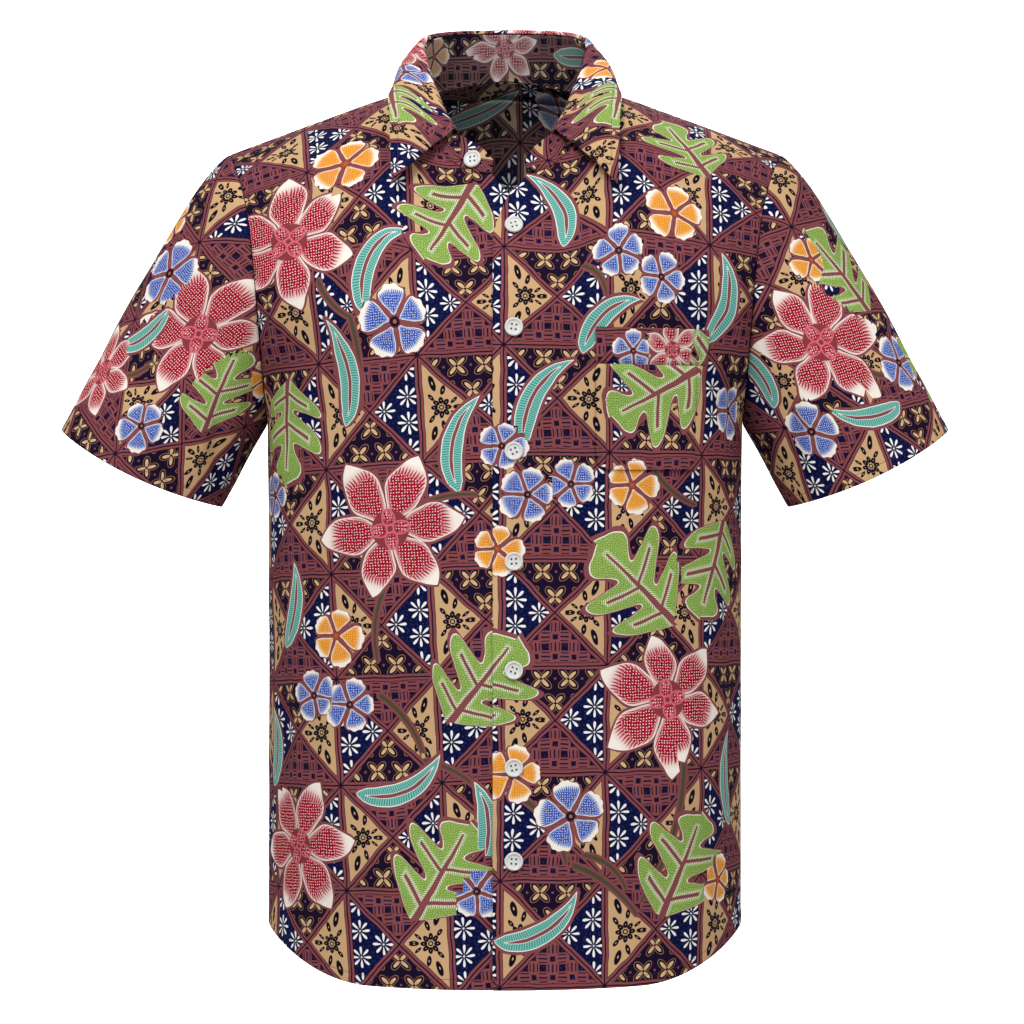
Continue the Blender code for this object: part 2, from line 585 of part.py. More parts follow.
def main():
    for o in list(bpy.data.objects):
        bpy.data.objects.remove(o)
    home = bpy.data.collections.new("batik_shirt")
    bpy.context.scene.collection.children.link(home)

    sheet("front_left", front_grid("left"), "front", home)
    sheet("front_right", front_grid("right"), "front", home, flip=True)
    sheet("back", back_grid(), "back", home, flip=True)
    sheet("back_yoke", yoke_grid(), "yoke", home, flip=True)
    sheet("sleeve_left", sleeve_grid(False), "sleeve", home, ring=True, flip=True)
    sheet("sleeve_right", sleeve_grid(True), "sleeve", home, ring=True)
    sheet("collar_stand", stand_grid(), "stand", home, flip=True)
    sheet("collar_leaf", leaf_grid(), "leaf", home, flip=True)
    sheet("pocket", pocket_grid(), "pocket", home, wall=POCKET_WALL)

    mesh = button_mesh()
    mesh.materials.clear()
    mesh.materials.append(material("button"))

    def button(name, at, normal, across=(1, 0, 0)):
        n = Vector(normal).normalized()
        x = Vector(across)
        x = (x - n * x.dot(n)).normalized()
        y = n.cross(x)
        turn = Matrix((x, y, n)).transposed().to_4x4()
        o = bpy.data.objects.new(name, mesh)
        o.matrix_world = Matrix.Translation(Vector(at) + n * PLY_GAP) @ turn
        home.objects.link(o)

    for i, z in enumerate(BUTTON_Z):
        theta = math.asin(BUTTON_X / float(read(GIRTH, "z", "half_width", z)))
        v = at_level(np.array(theta), z, -1)
        button(f"button_{i + 1}", body(theta, v, -1), body_normal(theta, v, -1))
    stand = stand_grid()
    j, i = 2, 2
    p = stand[j, i]
    n = np.cross(stand[j, i + 1] - stand[j, i - 1], stand[j + 1, i] - stand[j - 1, i])
    if n[1] > 0:
        n = -n
    button("button_stand", p + 0.0 * n, n, across=stand[j, i + 1] - stand[j, i - 1])


main()
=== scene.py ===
"""Looks of the batik shirt: thin printed cotton on the CAD shirt's own form.

Every panel is worked out again from the same tables as the CAD part, finer and
thinner, with its creases, turned hems and stitching. The print is drawn by shader
nodes from each panel's flat cloth coordinates in metres: a repeat of small patterned
triangles, and over it flowers, leaves and stems that short tables put in place.
"""

import math

import bmesh
import bpy
import numpy as np
from mathutils import Matrix, Vector


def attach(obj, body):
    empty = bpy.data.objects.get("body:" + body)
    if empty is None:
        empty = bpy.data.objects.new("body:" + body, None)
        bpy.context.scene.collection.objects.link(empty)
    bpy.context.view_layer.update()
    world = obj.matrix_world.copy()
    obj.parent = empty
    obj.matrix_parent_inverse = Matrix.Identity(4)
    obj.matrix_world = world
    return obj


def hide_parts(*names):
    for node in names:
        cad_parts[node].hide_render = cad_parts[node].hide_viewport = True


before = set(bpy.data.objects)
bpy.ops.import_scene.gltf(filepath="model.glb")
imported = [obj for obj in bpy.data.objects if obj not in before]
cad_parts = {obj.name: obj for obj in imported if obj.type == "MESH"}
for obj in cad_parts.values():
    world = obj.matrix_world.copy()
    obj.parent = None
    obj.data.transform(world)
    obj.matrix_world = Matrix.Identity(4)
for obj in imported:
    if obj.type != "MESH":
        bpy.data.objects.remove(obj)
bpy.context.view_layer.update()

# ---------------------------------------------------------------- sizes of the form
WALL = 0.0015            # cloth with its seam turnings
SEAM_GAP = 0.0006        # between two outer faces at a seam; 0.3 mm or more at the inner faces
PLY_GAP = 0.0003         # between a ply and what lies on it

CHEST_Z = -0.200         # where the chest starts to roll to the shoulder
ARCH = 0.270             # way from the shoulder ridge to the chest line
UNDERARM_Z = -0.2706
HEM_Z = -0.717           # hem at centre front and centre back
HEM_RISE = 0.034         # side seam's hem above that
HEM_RISE_FROM, HEM_RISE_OVER = math.radians(33), math.radians(52)

SHOULDER_X, SHOULDER_Z, SHOULDER_SLOPE = 0.0888, 0.0035, 0.365
FRONT_NECK_DROP, BACK_NECK_LIFT, NECK_REACH = 0.037, 0.028, 0.075

NECK_HALF_WIDTH, NECK_FRONT, NECK_BACK, NECK_SQUARE = 0.080, 0.100, 0.074, 0.9

YOKE_FRONT = 0.030       # yoke seam forward of the ridge, along v
YOKE_SEAM_Z = -0.078     # yoke seam across the back

BUTTON_D, BUTTON_T, BUTTON_RIM = 0.0146, 0.0028, 0.0018
BUTTON_HOLE_D, BUTTON_HOLE_PITCH = 0.0017, 0.0036
BUTTON_X = 0.0072        # line of the buttons, just left of the centre
BUTTON_Z = (-0.1176, -0.199, -0.296, -0.382, -0.467, -0.543, -0.616)
LAP_RUN, LAP_START = 0.016, 0.006   # the under front steps back over this way, ending this far before the lap
LAP_GAP = 0.0009         # between the two fronts where they lap

POCKET_X, POCKET_TOP_Z, POCKET_W, POCKET_H, POCKET_CORNER = 0.0713, -0.1985, 0.100, 0.112, 0.010
POCKET_WALL, POCKET_LIFT = 0.0012, 0.0008

ARM_ROWS, YOKE_ROWS = 54, 26   # rows of the panels along the armhole, and of the yoke
STAND_SEAM_GAP = 0.0004  # stand's foot above the neck seam, over the facets there
LEAF_LIFT = 0.0115         # collar points off the body
SLEEVE_EASE = 0.00015    # sleeve head off the armhole's edge
SLEEVE_HALF_W, SLEEVE_HALF_D = 0.0733, 0.0590
SLEEVE_HEM = (0.3005, -0.006, -0.3075)
SLEEVE_HEM_DIR = (0.900, 0.0, 0.436)
SLEEVE_FRONT_DIP = 0.007

# ---------------------------------------------------------------- short tables
# Girths of the body, each row a level.
GIRTH = {
    "z":          (-0.760, -0.600, -0.450, -0.320, -0.2706, -0.240, -0.200, -0.160, -0.100, 0.000, 0.080),
    "half_width": (0.1960, 0.1955, 0.1955, 0.1962, 0.1965, 0.2050, 0.2200, 0.2350, 0.2500, 0.2620, 0.2700),
    "front":      (0.1520, 0.1505, 0.1505, 0.1510, 0.1500, 0.1490, 0.1480, 0.1460, 0.1430, 0.1400, 0.1400),
    "back":       (0.1500, 0.1460, 0.1410, 0.1430, 0.1460, 0.1480, 0.1500, 0.1500, 0.1490, 0.1480, 0.1480),
}
# Armhole seen from the front, each row a level.
ARMHOLE = {
    "z": (-0.2706, -0.250, -0.215, -0.161, -0.106, -0.075, -0.040),
    "x": (0.1965, 0.1968, 0.1982, 0.2015, 0.2080, 0.2160, 0.2310),
}
# Edges of the two fronts at the centre, from the hem up to the neck seam.
FRONT_EDGE = {
    "z":     (-0.760, -0.150, -0.126, -0.102, -0.087, -0.075, -0.060),
    "left":  (-0.0094, -0.0094, -0.0094, -0.0016, 0.0047, 0.0120, 0.0180),
    "right": (0.0220, 0.0220, 0.0200, 0.0120, 0.0050, -0.0010, -0.0090),
}
# Collar sections from the centre back (s = 0) to the leaf's front end (s = 1).
# seam: angle round the neck seam; fold: top of the stand; edge: leaf's free edge,
# in plan, with its lift above the body.
COLLAR = {
    "s":      (0.00, 0.17, 0.31, 0.43, 0.57, 0.72, 0.87, 1.00),
    "seam":   (0.0, 32.0, 58.0, 78.0, 96.0, 116.0, 136.0, 152.0),
    "fold_x": (0.0000, 0.0370, 0.0600, 0.0672, 0.0630, 0.0560, 0.0470, 0.0372),
    "fold_y": (0.0660, 0.0565, 0.0360, 0.0150, -0.0090, -0.0330, -0.0570, -0.0780),
    "fold_z": (0.0630, 0.0608, 0.0545, 0.0440, 0.0250, 0.0025, -0.0210, -0.0400),
    "edge_x": (0.0000, 0.0500, 0.0785, 0.0890, 0.0905, 0.0912, 0.0915, 0.0905),
    "edge_y": (0.0900, 0.0760, 0.0480, 0.0190, -0.0120, -0.0420, -0.0760, -0.1130),
    "lift":   (0.0050, 0.0050, 0.0050, 0.0050, 0.0050, 0.0055, 0.0070, 0.0120),
}
# Stand beyond the leaf's end: e runs from the leaf's end (0) to the stand's end (1).
STAND_END = {
    "e": (0.00, 0.35, 0.70, 1.00),
    "x": (0.0372, 0.0290, 0.0200, 0.0125),
    "y": (-0.0780, -0.0865, -0.0940, -0.0985),
    "z": (-0.0400, -0.0455, -0.0530, -0.0625),
}
STAND_END_DEG = {"left": 169.0, "right": 174.0}
STAND_END_SHIFT = {"left": 0.004, "right": -0.003}


# ---------------------------------------------------------------- tables
def slopes(x, y):
    """Slopes of a monotone cubic through a table's points."""
    h, d = np.diff(x), np.diff(y) / np.diff(x)
    m = np.zeros(len(x))
    for i in range(1, len(x) - 1):
        if d[i - 1] * d[i] > 0:
            w1, w2 = 2 * h[i] + h[i - 1], h[i] + 2 * h[i - 1]
            m[i] = (w1 + w2) / (w1 / d[i - 1] + w2 / d[i])
    m[0], m[-1] = d[0], d[-1]
    return m


def read(table, key, column, at):
    """A table's column at a value of its key column, smoothly."""
    x, y = np.array(table[key], float), np.array(table[column], float)
    m = slopes(x, y)
    at = np.clip(np.asarray(at, float), x[0], x[-1])
    i = np.clip(np.searchsorted(x, at) - 1, 0, len(x) - 2)
    h = x[i + 1] - x[i]
    t = (at - x[i]) / h
    return ((1 + 2 * t) * (1 - t) ** 2 * y[i] + t * (1 - t) ** 2 * h * m[i]
            + t * t * (3 - 2 * t) * y[i + 1] + t * t * (t - 1) * h * m[i + 1])


def smooth(t):
    t = np.clip(t, 0.0, 1.0)
    return t * t * (3 - 2 * t)


# ---------------------------------------------------------------- the body's surface
def ridge(x):
    """Height of the shoulder line at x, rounded over the neck's centre."""
    return SHOULDER_Z - SHOULDER_SLOPE * (np.sqrt(x * x + 0.0002) - SHOULDER_X)


def body(theta, v, half=None):
    """Points of the body's surface. half is -1 for the front and +1 for the back."""
    theta, v = np.broadcast_arrays(np.asarray(theta, float), np.asarray(v, float))
    side = np.where(v < 0, -1.0, 1.0) if half is None else np.full(v.shape, float(half))
    way = np.abs(v)
    phi = np.clip(1 - way / ARCH, 0, 1) * math.pi / 2
    z = np.where(way > ARCH, CHEST_Z - (way - ARCH), -0.1)
    for _ in range(12):
        x = read(GIRTH, "z", "half_width", z) * np.sin(theta)
        bell = np.exp(-((np.abs(x) / NECK_REACH) ** 4))
        shift = np.where(side < 0, -FRONT_NECK_DROP, BACK_NECK_LIFT) * bell * np.sin(2 * phi)
        z = np.where(way > ARCH, CHEST_Z - (way - ARCH),
                     CHEST_Z + (ridge(x) - CHEST_Z) * np.sin(phi) + shift)
    deep = np.where(side < 0, read(GIRTH, "z", "front", z), read(GIRTH, "z", "back", z))
    return np.stack([x, side * deep * np.cos(theta) * np.cos(phi), z], -1)


def body_normal(theta, v, half=None):
    e = 1e-4
    a = body(theta + e, v, half) - body(theta - e, v, half)
    b = body(theta, v + e, half) - body(theta, v - e, half)
    n = np.cross(a, b)
    n /= np.linalg.norm(n, axis=-1, keepdims=True)
    p = body(theta, v, half)
    out = p - np.array([0, 0, -0.35])
    out[..., 2] = np.maximum(out[..., 2] - 0.15, 0.0)
    flip = np.sum(n * out, -1, keepdims=True) < 0
    return np.where(flip, -n, n)


def under_plan(x, y):
    """(theta, v) of the body's point at a place in plan."""
    x, y = np.broadcast_arrays(np.asarray(x, float), np.asarray(y, float))
    z = np.full(x.shape, -0.03)
    for _ in range(60):
        theta = np.arcsin(np.clip(x / read(GIRTH, "z", "half_width", z), -1, 1))
        deep = np.where(y < 0, read(GIRTH, "z", "front", z), read(GIRTH, "z", "back", z))
        phi = np.arccos(np.clip(np.abs(y) / (deep * np.cos(theta)), 0, 1))
        v = np.where(y < 0, -1, 1) * ARCH * (1 - phi / (math.pi / 2))
        z = 0.5 * z + 0.5 * body(theta, v, None)[..., 2]
    return theta, v


def at_level(theta, z, half):
    """v where the body's line at theta reaches height z."""
    low, high = np.zeros(np.shape(theta)), np.full(np.shape(theta), 0.9)
    for _ in range(40):
        mid = (low + high) / 2
        above = body(theta, half * mid, half)[..., 2] > z
        low, high = np.where(above, mid, low), np.where(above, high, mid)
    return half * (low + high) / 2


def neck(deg, side=1):
    """(theta, v) of the neck seam at an angle from the centre back."""
    a = np.radians(np.asarray(deg, float))
    c = np.cos(a)
    x = NECK_HALF_WIDTH * np.abs(np.sin(a)) ** NECK_SQUARE * np.sign(np.sin(a)) * side
    y = np.where(c > 0, NECK_BACK, NECK_FRONT) * np.sign(c) * np.abs(c) ** NECK_SQUARE
    return under_plan(x, y)


def arm_edge(f, half):
    """(theta, v) of the armhole from the shoulder point (f = 0) to the underarm."""
    f = np.asarray(f, float)
    x = np.full(f.shape, 0.228)
    for _ in range(20):
        top = ridge(x)
        z_top = SHOULDER_Z - SHOULDER_SLOPE * (0.2275 - SHOULDER_X)
        z = z_top + (UNDERARM_Z - z_top) * (1 - np.cos(math.pi * f)) / 2
        x = read(ARMHOLE, "z", "x", z)
    theta = np.arcsin(np.clip(x / read(GIRTH, "z", "half_width", z), -1, 1))
    rise = np.clip((z - CHEST_Z) / (top - CHEST_Z), 0, 1)
    way = np.where(z > CHEST_Z, ARCH * (1 - np.arcsin(rise) / (math.pi / 2)), ARCH + CHEST_Z - z)
    theta = np.where(f >= 1, math.pi / 2, theta)
    return theta, half * way


def arm_fraction(test):
    """The armhole's f where test(theta, v) turns true going down."""
    low, high = 0.0, 1.0
    for _ in range(50):
        mid = (low + high) / 2
        if test(mid):
            high = mid
        else:
            low = mid
    return (low + high) / 2


def yoke_fractions():
    """The armhole's f at the yoke's front seam and at its back seam."""
    return (arm_fraction(lambda f: arm_edge(f, -1)[1] < -YOKE_FRONT),
            arm_fraction(lambda f: body(*arm_edge(f, 1), 1)[2] < YOKE_SEAM_Z))


def hem_way(theta):
    z = HEM_Z + HEM_RISE * smooth((np.abs(theta) - HEM_RISE_FROM) / HEM_RISE_OVER)
    return ARCH + CHEST_Z - z


# ---------------------------------------------------------------- panels in (theta, v)
def patch(top, bottom, left, right, s=None, t=None):
    """Coons patch between four rows of (theta, v) points."""
    top, bottom, left, right = (np.stack(e, -1) for e in (top, bottom, left, right))
    s = (np.linspace(0, 1, len(top)) if s is None else s)[None, :, None]
    t = (np.linspace(0, 1, len(left)) if t is None else t)[:, None, None]
    return ((1 - t) * top[None] + t * bottom[None] + (1 - s) * left[:, None] + s * right[:, None]
            - (1 - s) * (1 - t) * top[0] - s * (1 - t) * top[-1]
            - (1 - s) * t * bottom[0] - s * t * bottom[-1])


def retract(grid, edges, by=0.00005):
    """Draws a grid's seam edges in along the cloth: 'top', 'bottom', 'left', 'right'."""
    g = grid.copy()
    moves = {"top": (0, 1, 0), "bottom": (-1, -2, 0), "left": (0, 1, 1), "right": (-1, -2, 1)}
    for edge in edges:
        at, to, axis = moves[edge]
        a = g[at] if axis == 0 else g[:, at]
        b = g[to] if axis == 0 else g[:, to]
        d = b - a
        d = d / np.linalg.norm(d, axis=-1, keepdims=True)
        if axis == 0:
            g[at] = a + d * by
        else:
            g[:, at] = a + d * by
    return g


def steps(length, count, start=True, end=True):
    """0 to 1 in even steps, with finer ones in the last 6 mm before a seam or a hem."""
    near = np.array([0.0, 0.0007, 0.0015, 0.0028, 0.0050, 0.0080]) / length
    t = np.linspace(near[-1] if start else 0.0, 1 - near[-1] if end else 1.0, count)
    if start:
        t = np.concatenate([near[:-1], t])
    if end:
        t = np.concatenate([t, 1 - near[-2::-1]])
    return t


def yoke_corner():
    """Angle round the neck seam where the front and the yoke meet."""
    lo, hi = 90.0, 130.0
    for _ in range(40):
        mid = (lo + hi) / 2
        lo, hi = (mid, hi) if neck(mid)[1] > -YOKE_FRONT else (lo, mid)
    return mid


def front_panel(which):
    """A front's points with their (theta, v). which is left (+X, on top) or right (-X, under)."""
    mirror = 1 if which == "left" else -1
    across = steps(0.29, 56)
    half = int(np.searchsorted(across, 0.5))
    across = np.insert(across, half, 0.5)
    end_deg = STAND_END_DEG[which]
    end = neck(end_deg)
    end_z = float(body(*end)[2])
    f0 = yoke_fractions()[0]
    arm0 = arm_edge(f0, -1)
    t = across / 0.5
    seam = neck(end_deg + (yoke_corner() - end_deg) * t[:half + 1])
    run = (t[half + 1:] - 1)
    top = (np.append(seam[0], seam[0][-1] + (arm0[0] - seam[0][-1]) * run),
           np.append(seam[1], np.full(len(run), -YOKE_FRONT)))
    v_u = -(ARCH + CHEST_Z - UNDERARM_Z)

    def centre(v):
        z = body(0.0, v, -1)[..., 2]
        x = read(FRONT_EDGE, "z", which, z) * mirror
        return np.arcsin(x / read(GIRTH, "z", "half_width", z))

    rows = steps(0.27, 46, end=False)
    v_left = float(seam[1][0]) + (v_u - float(seam[1][0])) * rows
    left = [centre(v_left), v_left]
    blend = smooth(1 - (v_left - v_left[0]) / (-0.03))   # the edge starts at the seam's end
    left[0] = left[0] + (float(seam[0][0]) - left[0][0]) * blend
    right = arm_edge(f0 + (1 - f0) * rows, -1)
    bottom = (left[0][-1] + (math.pi / 2 - left[0][-1]) * across, np.full(len(across), v_u))
    grid = patch(top, bottom, left, right, across, rows)
    low = steps(0.446, 78, start=False)[1:, None]
    theta0 = bottom[0][None, :]
    v_low = v_u + (-hem_way(theta0) - v_u) * low
    grid = np.concatenate([grid, np.stack([np.broadcast_to(theta0, v_low.shape), v_low], -1)])
    theta, v = grid[..., 0], grid[..., 1]
    points = body(theta, v, -1)
    if which == "right":  # its edge passes under the other front
        points[..., 0] *= -1
        normal = body_normal(theta, v, -1)
        normal[..., 0] *= -1
        over = read(FRONT_EDGE, "z", "left", points[..., 2])
        under = smooth((points[..., 0] - over + LAP_RUN + LAP_START) / LAP_RUN)
        points = points - normal * ((WALL + LAP_GAP) * under)[..., None]
    return retract(points, ("top", "right")), theta, v


def back_panel():
    f0 = yoke_fractions()[1]
    s = steps(0.55, 104) * 2 - 1
    a = arm_edge(f0, 1)
    th = s * float(a[0])
    top = (th, at_level(th, YOKE_SEAM_Z, 1))
    v_u = ARCH + CHEST_Z - UNDERARM_Z
    rows = steps(0.20, 36, end=False)
    arm = arm_edge(f0 + (1 - f0) * rows, 1)
    bottom = (s * math.pi / 2, np.full(len(s), v_u))
    grid = patch(top, bottom, (-arm[0], arm[1]), arm, (s + 1) / 2, rows)
    low = steps(0.446, 78, start=False)[1:, None]
    theta0 = bottom[0][None, :]
    v_low = v_u + (hem_way(theta0) - v_u) * low
    grid = np.concatenate([grid, np.stack([np.broadcast_to(theta0, v_low.shape), v_low], -1)])
    return retract(body(grid[..., 0], grid[..., 1], 1), ("top", "left", "right")), grid[..., 0], grid[..., 1]


def yoke_panel():
    """Yoke: from the back seam over the ridge to the front seams, round the neck."""
    f_front, f_back = yoke_fractions()
    corner = yoke_corner()
    turn = neck(np.linspace(-corner, corner, 61))
    arm = arm_edge(f_front, -1)
    run = steps(0.15, 24, start=False)[:0:-1]
    th_side = turn[0][-1] + (float(arm[0]) - turn[0][-1]) * run
    inner = (np.concatenate([-th_side, turn[0], th_side[::-1]]),
             np.concatenate([np.full(len(run), -YOKE_FRONT), turn[1], np.full(len(run), -YOKE_FRONT)]))
    back_arm = arm_edge(f_back, 1)
    th = np.linspace(-1, 1, len(inner[0])) * float(back_arm[0])
    outer = (th, at_level(th, YOKE_SEAM_Z, 1))
    # the short ends run down the armholes, over the shoulder point
    rows = steps(0.17, 30)
    way = np.interp(rows, [0, f_front / (f_front + f_back), 1], [-f_front, 0, f_back])
    front_part, back_part = arm_edge(-way[way < 0], -1), arm_edge(way[way >= 0], 1)
    side = (np.concatenate([front_part[0], back_part[0]]), np.concatenate([front_part[1], back_part[1]]))
    grid = patch(inner, outer, (-side[0], side[1]), side, None, rows)
    points = body(grid[..., 0], grid[..., 1])
    return retract(points, ("top", "bottom", "left", "right")), grid[..., 0], grid[..., 1]


# ---------------------------------------------------------------- sleeve
def sleeve_panel(mirror):
    """Rings from the armhole to the sleeve hem. The first line runs down the underarm."""
    f_front, f_back = yoke_fractions()
    way = np.concatenate([np.linspace(1, f_back, 56), np.linspace(f_back, 0, 26)[1:]])
    back = body(*arm_edge(way, 1), 1)
    down = np.linspace(0, 1, 78)[1:-1]
    front = body(*arm_edge(down, -1), -1)
    start = np.concatenate([back, front])
    a = np.concatenate([-math.pi * way, math.pi * down])
    e1, e2 = np.array(SLEEVE_HEM_DIR), np.array([0.0, -1.0, 0.0])
    e1 = e1 / np.linalg.norm(e1)
    below = np.array([e1[2], 0, -e1[0]])
    end = (np.array(SLEEVE_HEM) + np.cos(a)[:, None] * e1 * SLEEVE_HALF_W
           + np.sin(a)[:, None] * e2 * SLEEVE_HALF_D
           + np.clip(np.sin(a), 0, 1)[:, None] ** 2 * below * SLEEVE_FRONT_DIP)
    length = np.linalg.norm(end - start, axis=1)[:, None]
    top = (1 + np.cos(a)[:, None]) / 2                   # 1 at the shoulder, 0 at the underarm
    lean = np.array([0.93, 0.0, -0.34]) * top + np.array([0.50, 0.0, -0.86]) * (1 - top)
    lean = lean + np.abs(np.sin(a))[:, None] * np.array([0.30, 0.0, 0.0]) * (1 - 0.5 * top)
    lean = lean + np.sin(a)[:, None] * np.array([0.0, -0.30, 0.0]) * (1 - 0.5 * top)
    lean = lean / np.linalg.norm(lean, axis=1, keepdims=True)
    pull = 0.085 * top + 0.060 * (1 - top)
    fall = np.array([0.490, 0.0, -0.872])
    k = steps(0.20, 38)[:, None, None]
    grid = ((1 + 2 * k) * (1 - k) ** 2 * start + k * (1 - k) ** 2 * (lean * pull)
            + k * k * (3 - 2 * k) * end + k * k * (k - 1) * (fall * length * 1.05))
    grid[..., 0] += SLEEVE_EASE
    if mirror:
        grid[..., 0] *= -1
    return grid, a


# ---------------------------------------------------------------- collar
def stand_grid(columns=72, end_columns=16, rows=12):
    """Collar stand's outer face, from its top down to the neck seam."""
    s = np.linspace(0, 1, columns + 1)
    e = np.linspace(0, 1, end_columns + 1)[1:]

    def half(which):
        sign = 1 if which == "left" else -1
        foot = read(COLLAR, "s", "seam", s)
        foot = np.append(foot, 152.0 + (STAND_END_DEG[which] - 152.0) * e)
        low = body(*neck(foot))
        high = np.stack([read(COLLAR, "s", c, s) for c in ("fold_x", "fold_y", "fold_z")], -1)
        end = np.stack([read(STAND_END, "e", c, e) for c in "xyz"], -1)
        end[:, 0] += e * STAND_END_SHIFT[which]
        high = np.concatenate([high, end])
        low[:, 0] *= sign
        high[:, 0] *= sign
        return low, high

    (l_low, l_high), (r_low, r_high) = half("left"), half("right")
    low = np.concatenate([r_low[:0:-1], l_low])
    high = np.concatenate([r_high[:0:-1], l_high])
    t = steps(0.035, rows)[:, None, None]
    grid = high * (1 - t) + low * t
    rise = (high - low)
    rise /= np.linalg.norm(rise, axis=1, keepdims=True)
    grid[-1] += rise * STAND_SEAM_GAP
    return grid


def finer(grid, count):
    """More rows through a grid's rows, on a smooth curve."""
    way = np.concatenate([[0], np.cumsum(np.linalg.norm(np.diff(grid, axis=0), axis=-1).mean(1))])
    way /= way[-1]
    slope = np.gradient(grid, way, axis=0)
    at = np.unique(np.concatenate([np.linspace(0, way[4], 10), np.linspace(way[4], 1, count), [0.985, 0.993]]))
    i = np.clip(np.searchsorted(way, at) - 1, 0, len(way) - 2)
    h = (way[i + 1] - way[i])[:, None, None]
    t = ((at - way[i]) / (way[i + 1] - way[i]))[:, None, None]
    return ((1 + 2 * t) * (1 - t) ** 2 * grid[i] + t * (1 - t) ** 2 * h * slope[i]
            + t * t * (3 - 2 * t) * grid[i + 1] + t * t * (t - 1) * h * slope[i + 1])


def leaf_grid(columns=84):
    """Collar leaf's outer face: over the fold, then down to its free edge."""
    s = np.linspace(0, 1, columns + 1)
    fold = np.stack([read(COLLAR, "s", c, s) for c in ("fold_x", "fold_y", "fold_z")], -1)
    plan = [read(COLLAR, "s", c, s) for c in ("edge_x", "edge_y")]
    edge = body(*under_plan(*plan))
    edge[:, 2] += read(COLLAR, "s", "lift", s)
    out = edge - fold
    out[:, 2] = 0
    out /= np.linalg.norm(out, axis=1, keepdims=True)
    up = np.array([0.0, 0.0, 1.0])
    spring = 1 - 0.75 * s[:, None] ** 2                  # the fold is rounder at the back
    rows = [fold + up * 0.0012 - out * 0.0002, fold + up * 0.0040 + out * 0.0016,
            fold + up * 0.0042 + out * 0.0048, fold + up * 0.0012 + out * 0.0082]
    drop = edge - rows[-1]
    for t in (0.2, 0.42, 0.64, 0.84, 1.0):
        rows.append(rows[3] + drop * t + (out * 0.006 + up * 0.003) * spring * math.sin(math.pi * t))
    grid = finer(np.stack(rows), 34)
    other = grid[:, :0:-1] * np.array([-1, 1, 1])
    return np.concatenate([other, grid], 1)




# ---------------------------------------------------------------- pocket and buttons
def arc_theta(z, x0, length):
    """theta reached by going a length round the front from x0 at level z."""
    a, b = float(read(GIRTH, "z", "half_width", z)), float(read(GIRTH, "z", "front", z))
    theta = math.asin(x0 / a)
    for _ in range(100):
        theta += length / 100 / math.hypot(a * math.cos(theta), b * math.sin(theta))
    return theta


def pocket_panel():
    s, t = steps(POCKET_W, 22), steps(POCKET_H, 24)
    low = np.maximum(0.0, t * POCKET_H - (POCKET_H - POCKET_CORNER))
    trim = np.minimum(POCKET_CORNER - np.sqrt(np.maximum(POCKET_CORNER**2 - low**2, 0)), POCKET_CORNER * 0.8)
    z = POCKET_TOP_Z - t * POCKET_H
    theta = np.array([[arc_theta(zj, POCKET_X, trim_j + (POCKET_W - 2 * trim_j) * si) for si in s]
                      for zj, trim_j in zip(z, trim)])
    v = at_level(theta, np.broadcast_to(z[:, None], theta.shape), -1)
    return body(theta, v, -1), theta, v


# ---------------------------------------------------------------- the flat cloth
FLAT_V = np.linspace(0, 0.80, 60)
FLAT_THETA = np.linspace(0, math.pi / 2, 90)


def flat_table(half, ease):
    """Way round the body from its centre line, for a table of v and theta. ease, from 0
    to 1, lets the front's print run out to the sides as the photo's does."""
    points = body(FLAT_THETA[None, :], half * np.maximum(FLAT_V, 1e-6)[:, None], half)
    d = np.diff(points, axis=1)
    ds, dx = np.linalg.norm(d, axis=-1), np.abs(d[..., 0])
    weight = ease * (1 - smooth((FLAT_THETA[1:] - 0.95) / 0.25))
    return np.concatenate([np.zeros((len(FLAT_V), 1)), np.cumsum(ds * (1 - weight) + dx * weight, 1)], 1)


FLAT = {-1: flat_table(-1, 0.5), 1: flat_table(1, 0.25)}


def flat(theta, v, half):
    """Flat cloth coordinates in metres of (theta, v): along the level, and up the cloth."""
    table = FLAT[half]
    i = np.clip(np.abs(v) / FLAT_V[1], 0, len(FLAT_V) - 1.001)
    j = np.clip(np.abs(theta) / FLAT_THETA[1], 0, len(FLAT_THETA) - 1.001)
    i0, j0 = i.astype(int), j.astype(int)
    a, b = i - i0, j - j0
    u = ((1 - a) * (1 - b) * table[i0, j0] + (1 - a) * b * table[i0, j0 + 1]
         + a * (1 - b) * table[i0 + 1, j0] + a * b * table[i0 + 1, j0 + 1])
    return np.stack([u * np.sign(theta), -np.abs(v)], -1)


def front_place(x, z):
    """Flat place on a front of the point seen at x, z from the front."""
    theta = math.asin(max(-0.999, min(0.999, x / float(read(GIRTH, "z", "half_width", z)))))
    return flat(np.array(theta), at_level(np.array(theta), z, -1), -1)


def lengths(points, axis):
    d = np.linalg.norm(np.diff(points, axis=axis), axis=-1)
    zero = np.zeros_like(np.take(d, [0], axis))
    return np.concatenate([zero, np.cumsum(d, axis)], axis)


def turned(uv, origin, degrees):
    a = math.radians(degrees)
    x, y = uv[..., 0] - origin[0], uv[..., 1] - origin[1]
    return np.stack([x * math.cos(a) + y * math.sin(a), -x * math.sin(a) + y * math.cos(a)], -1)


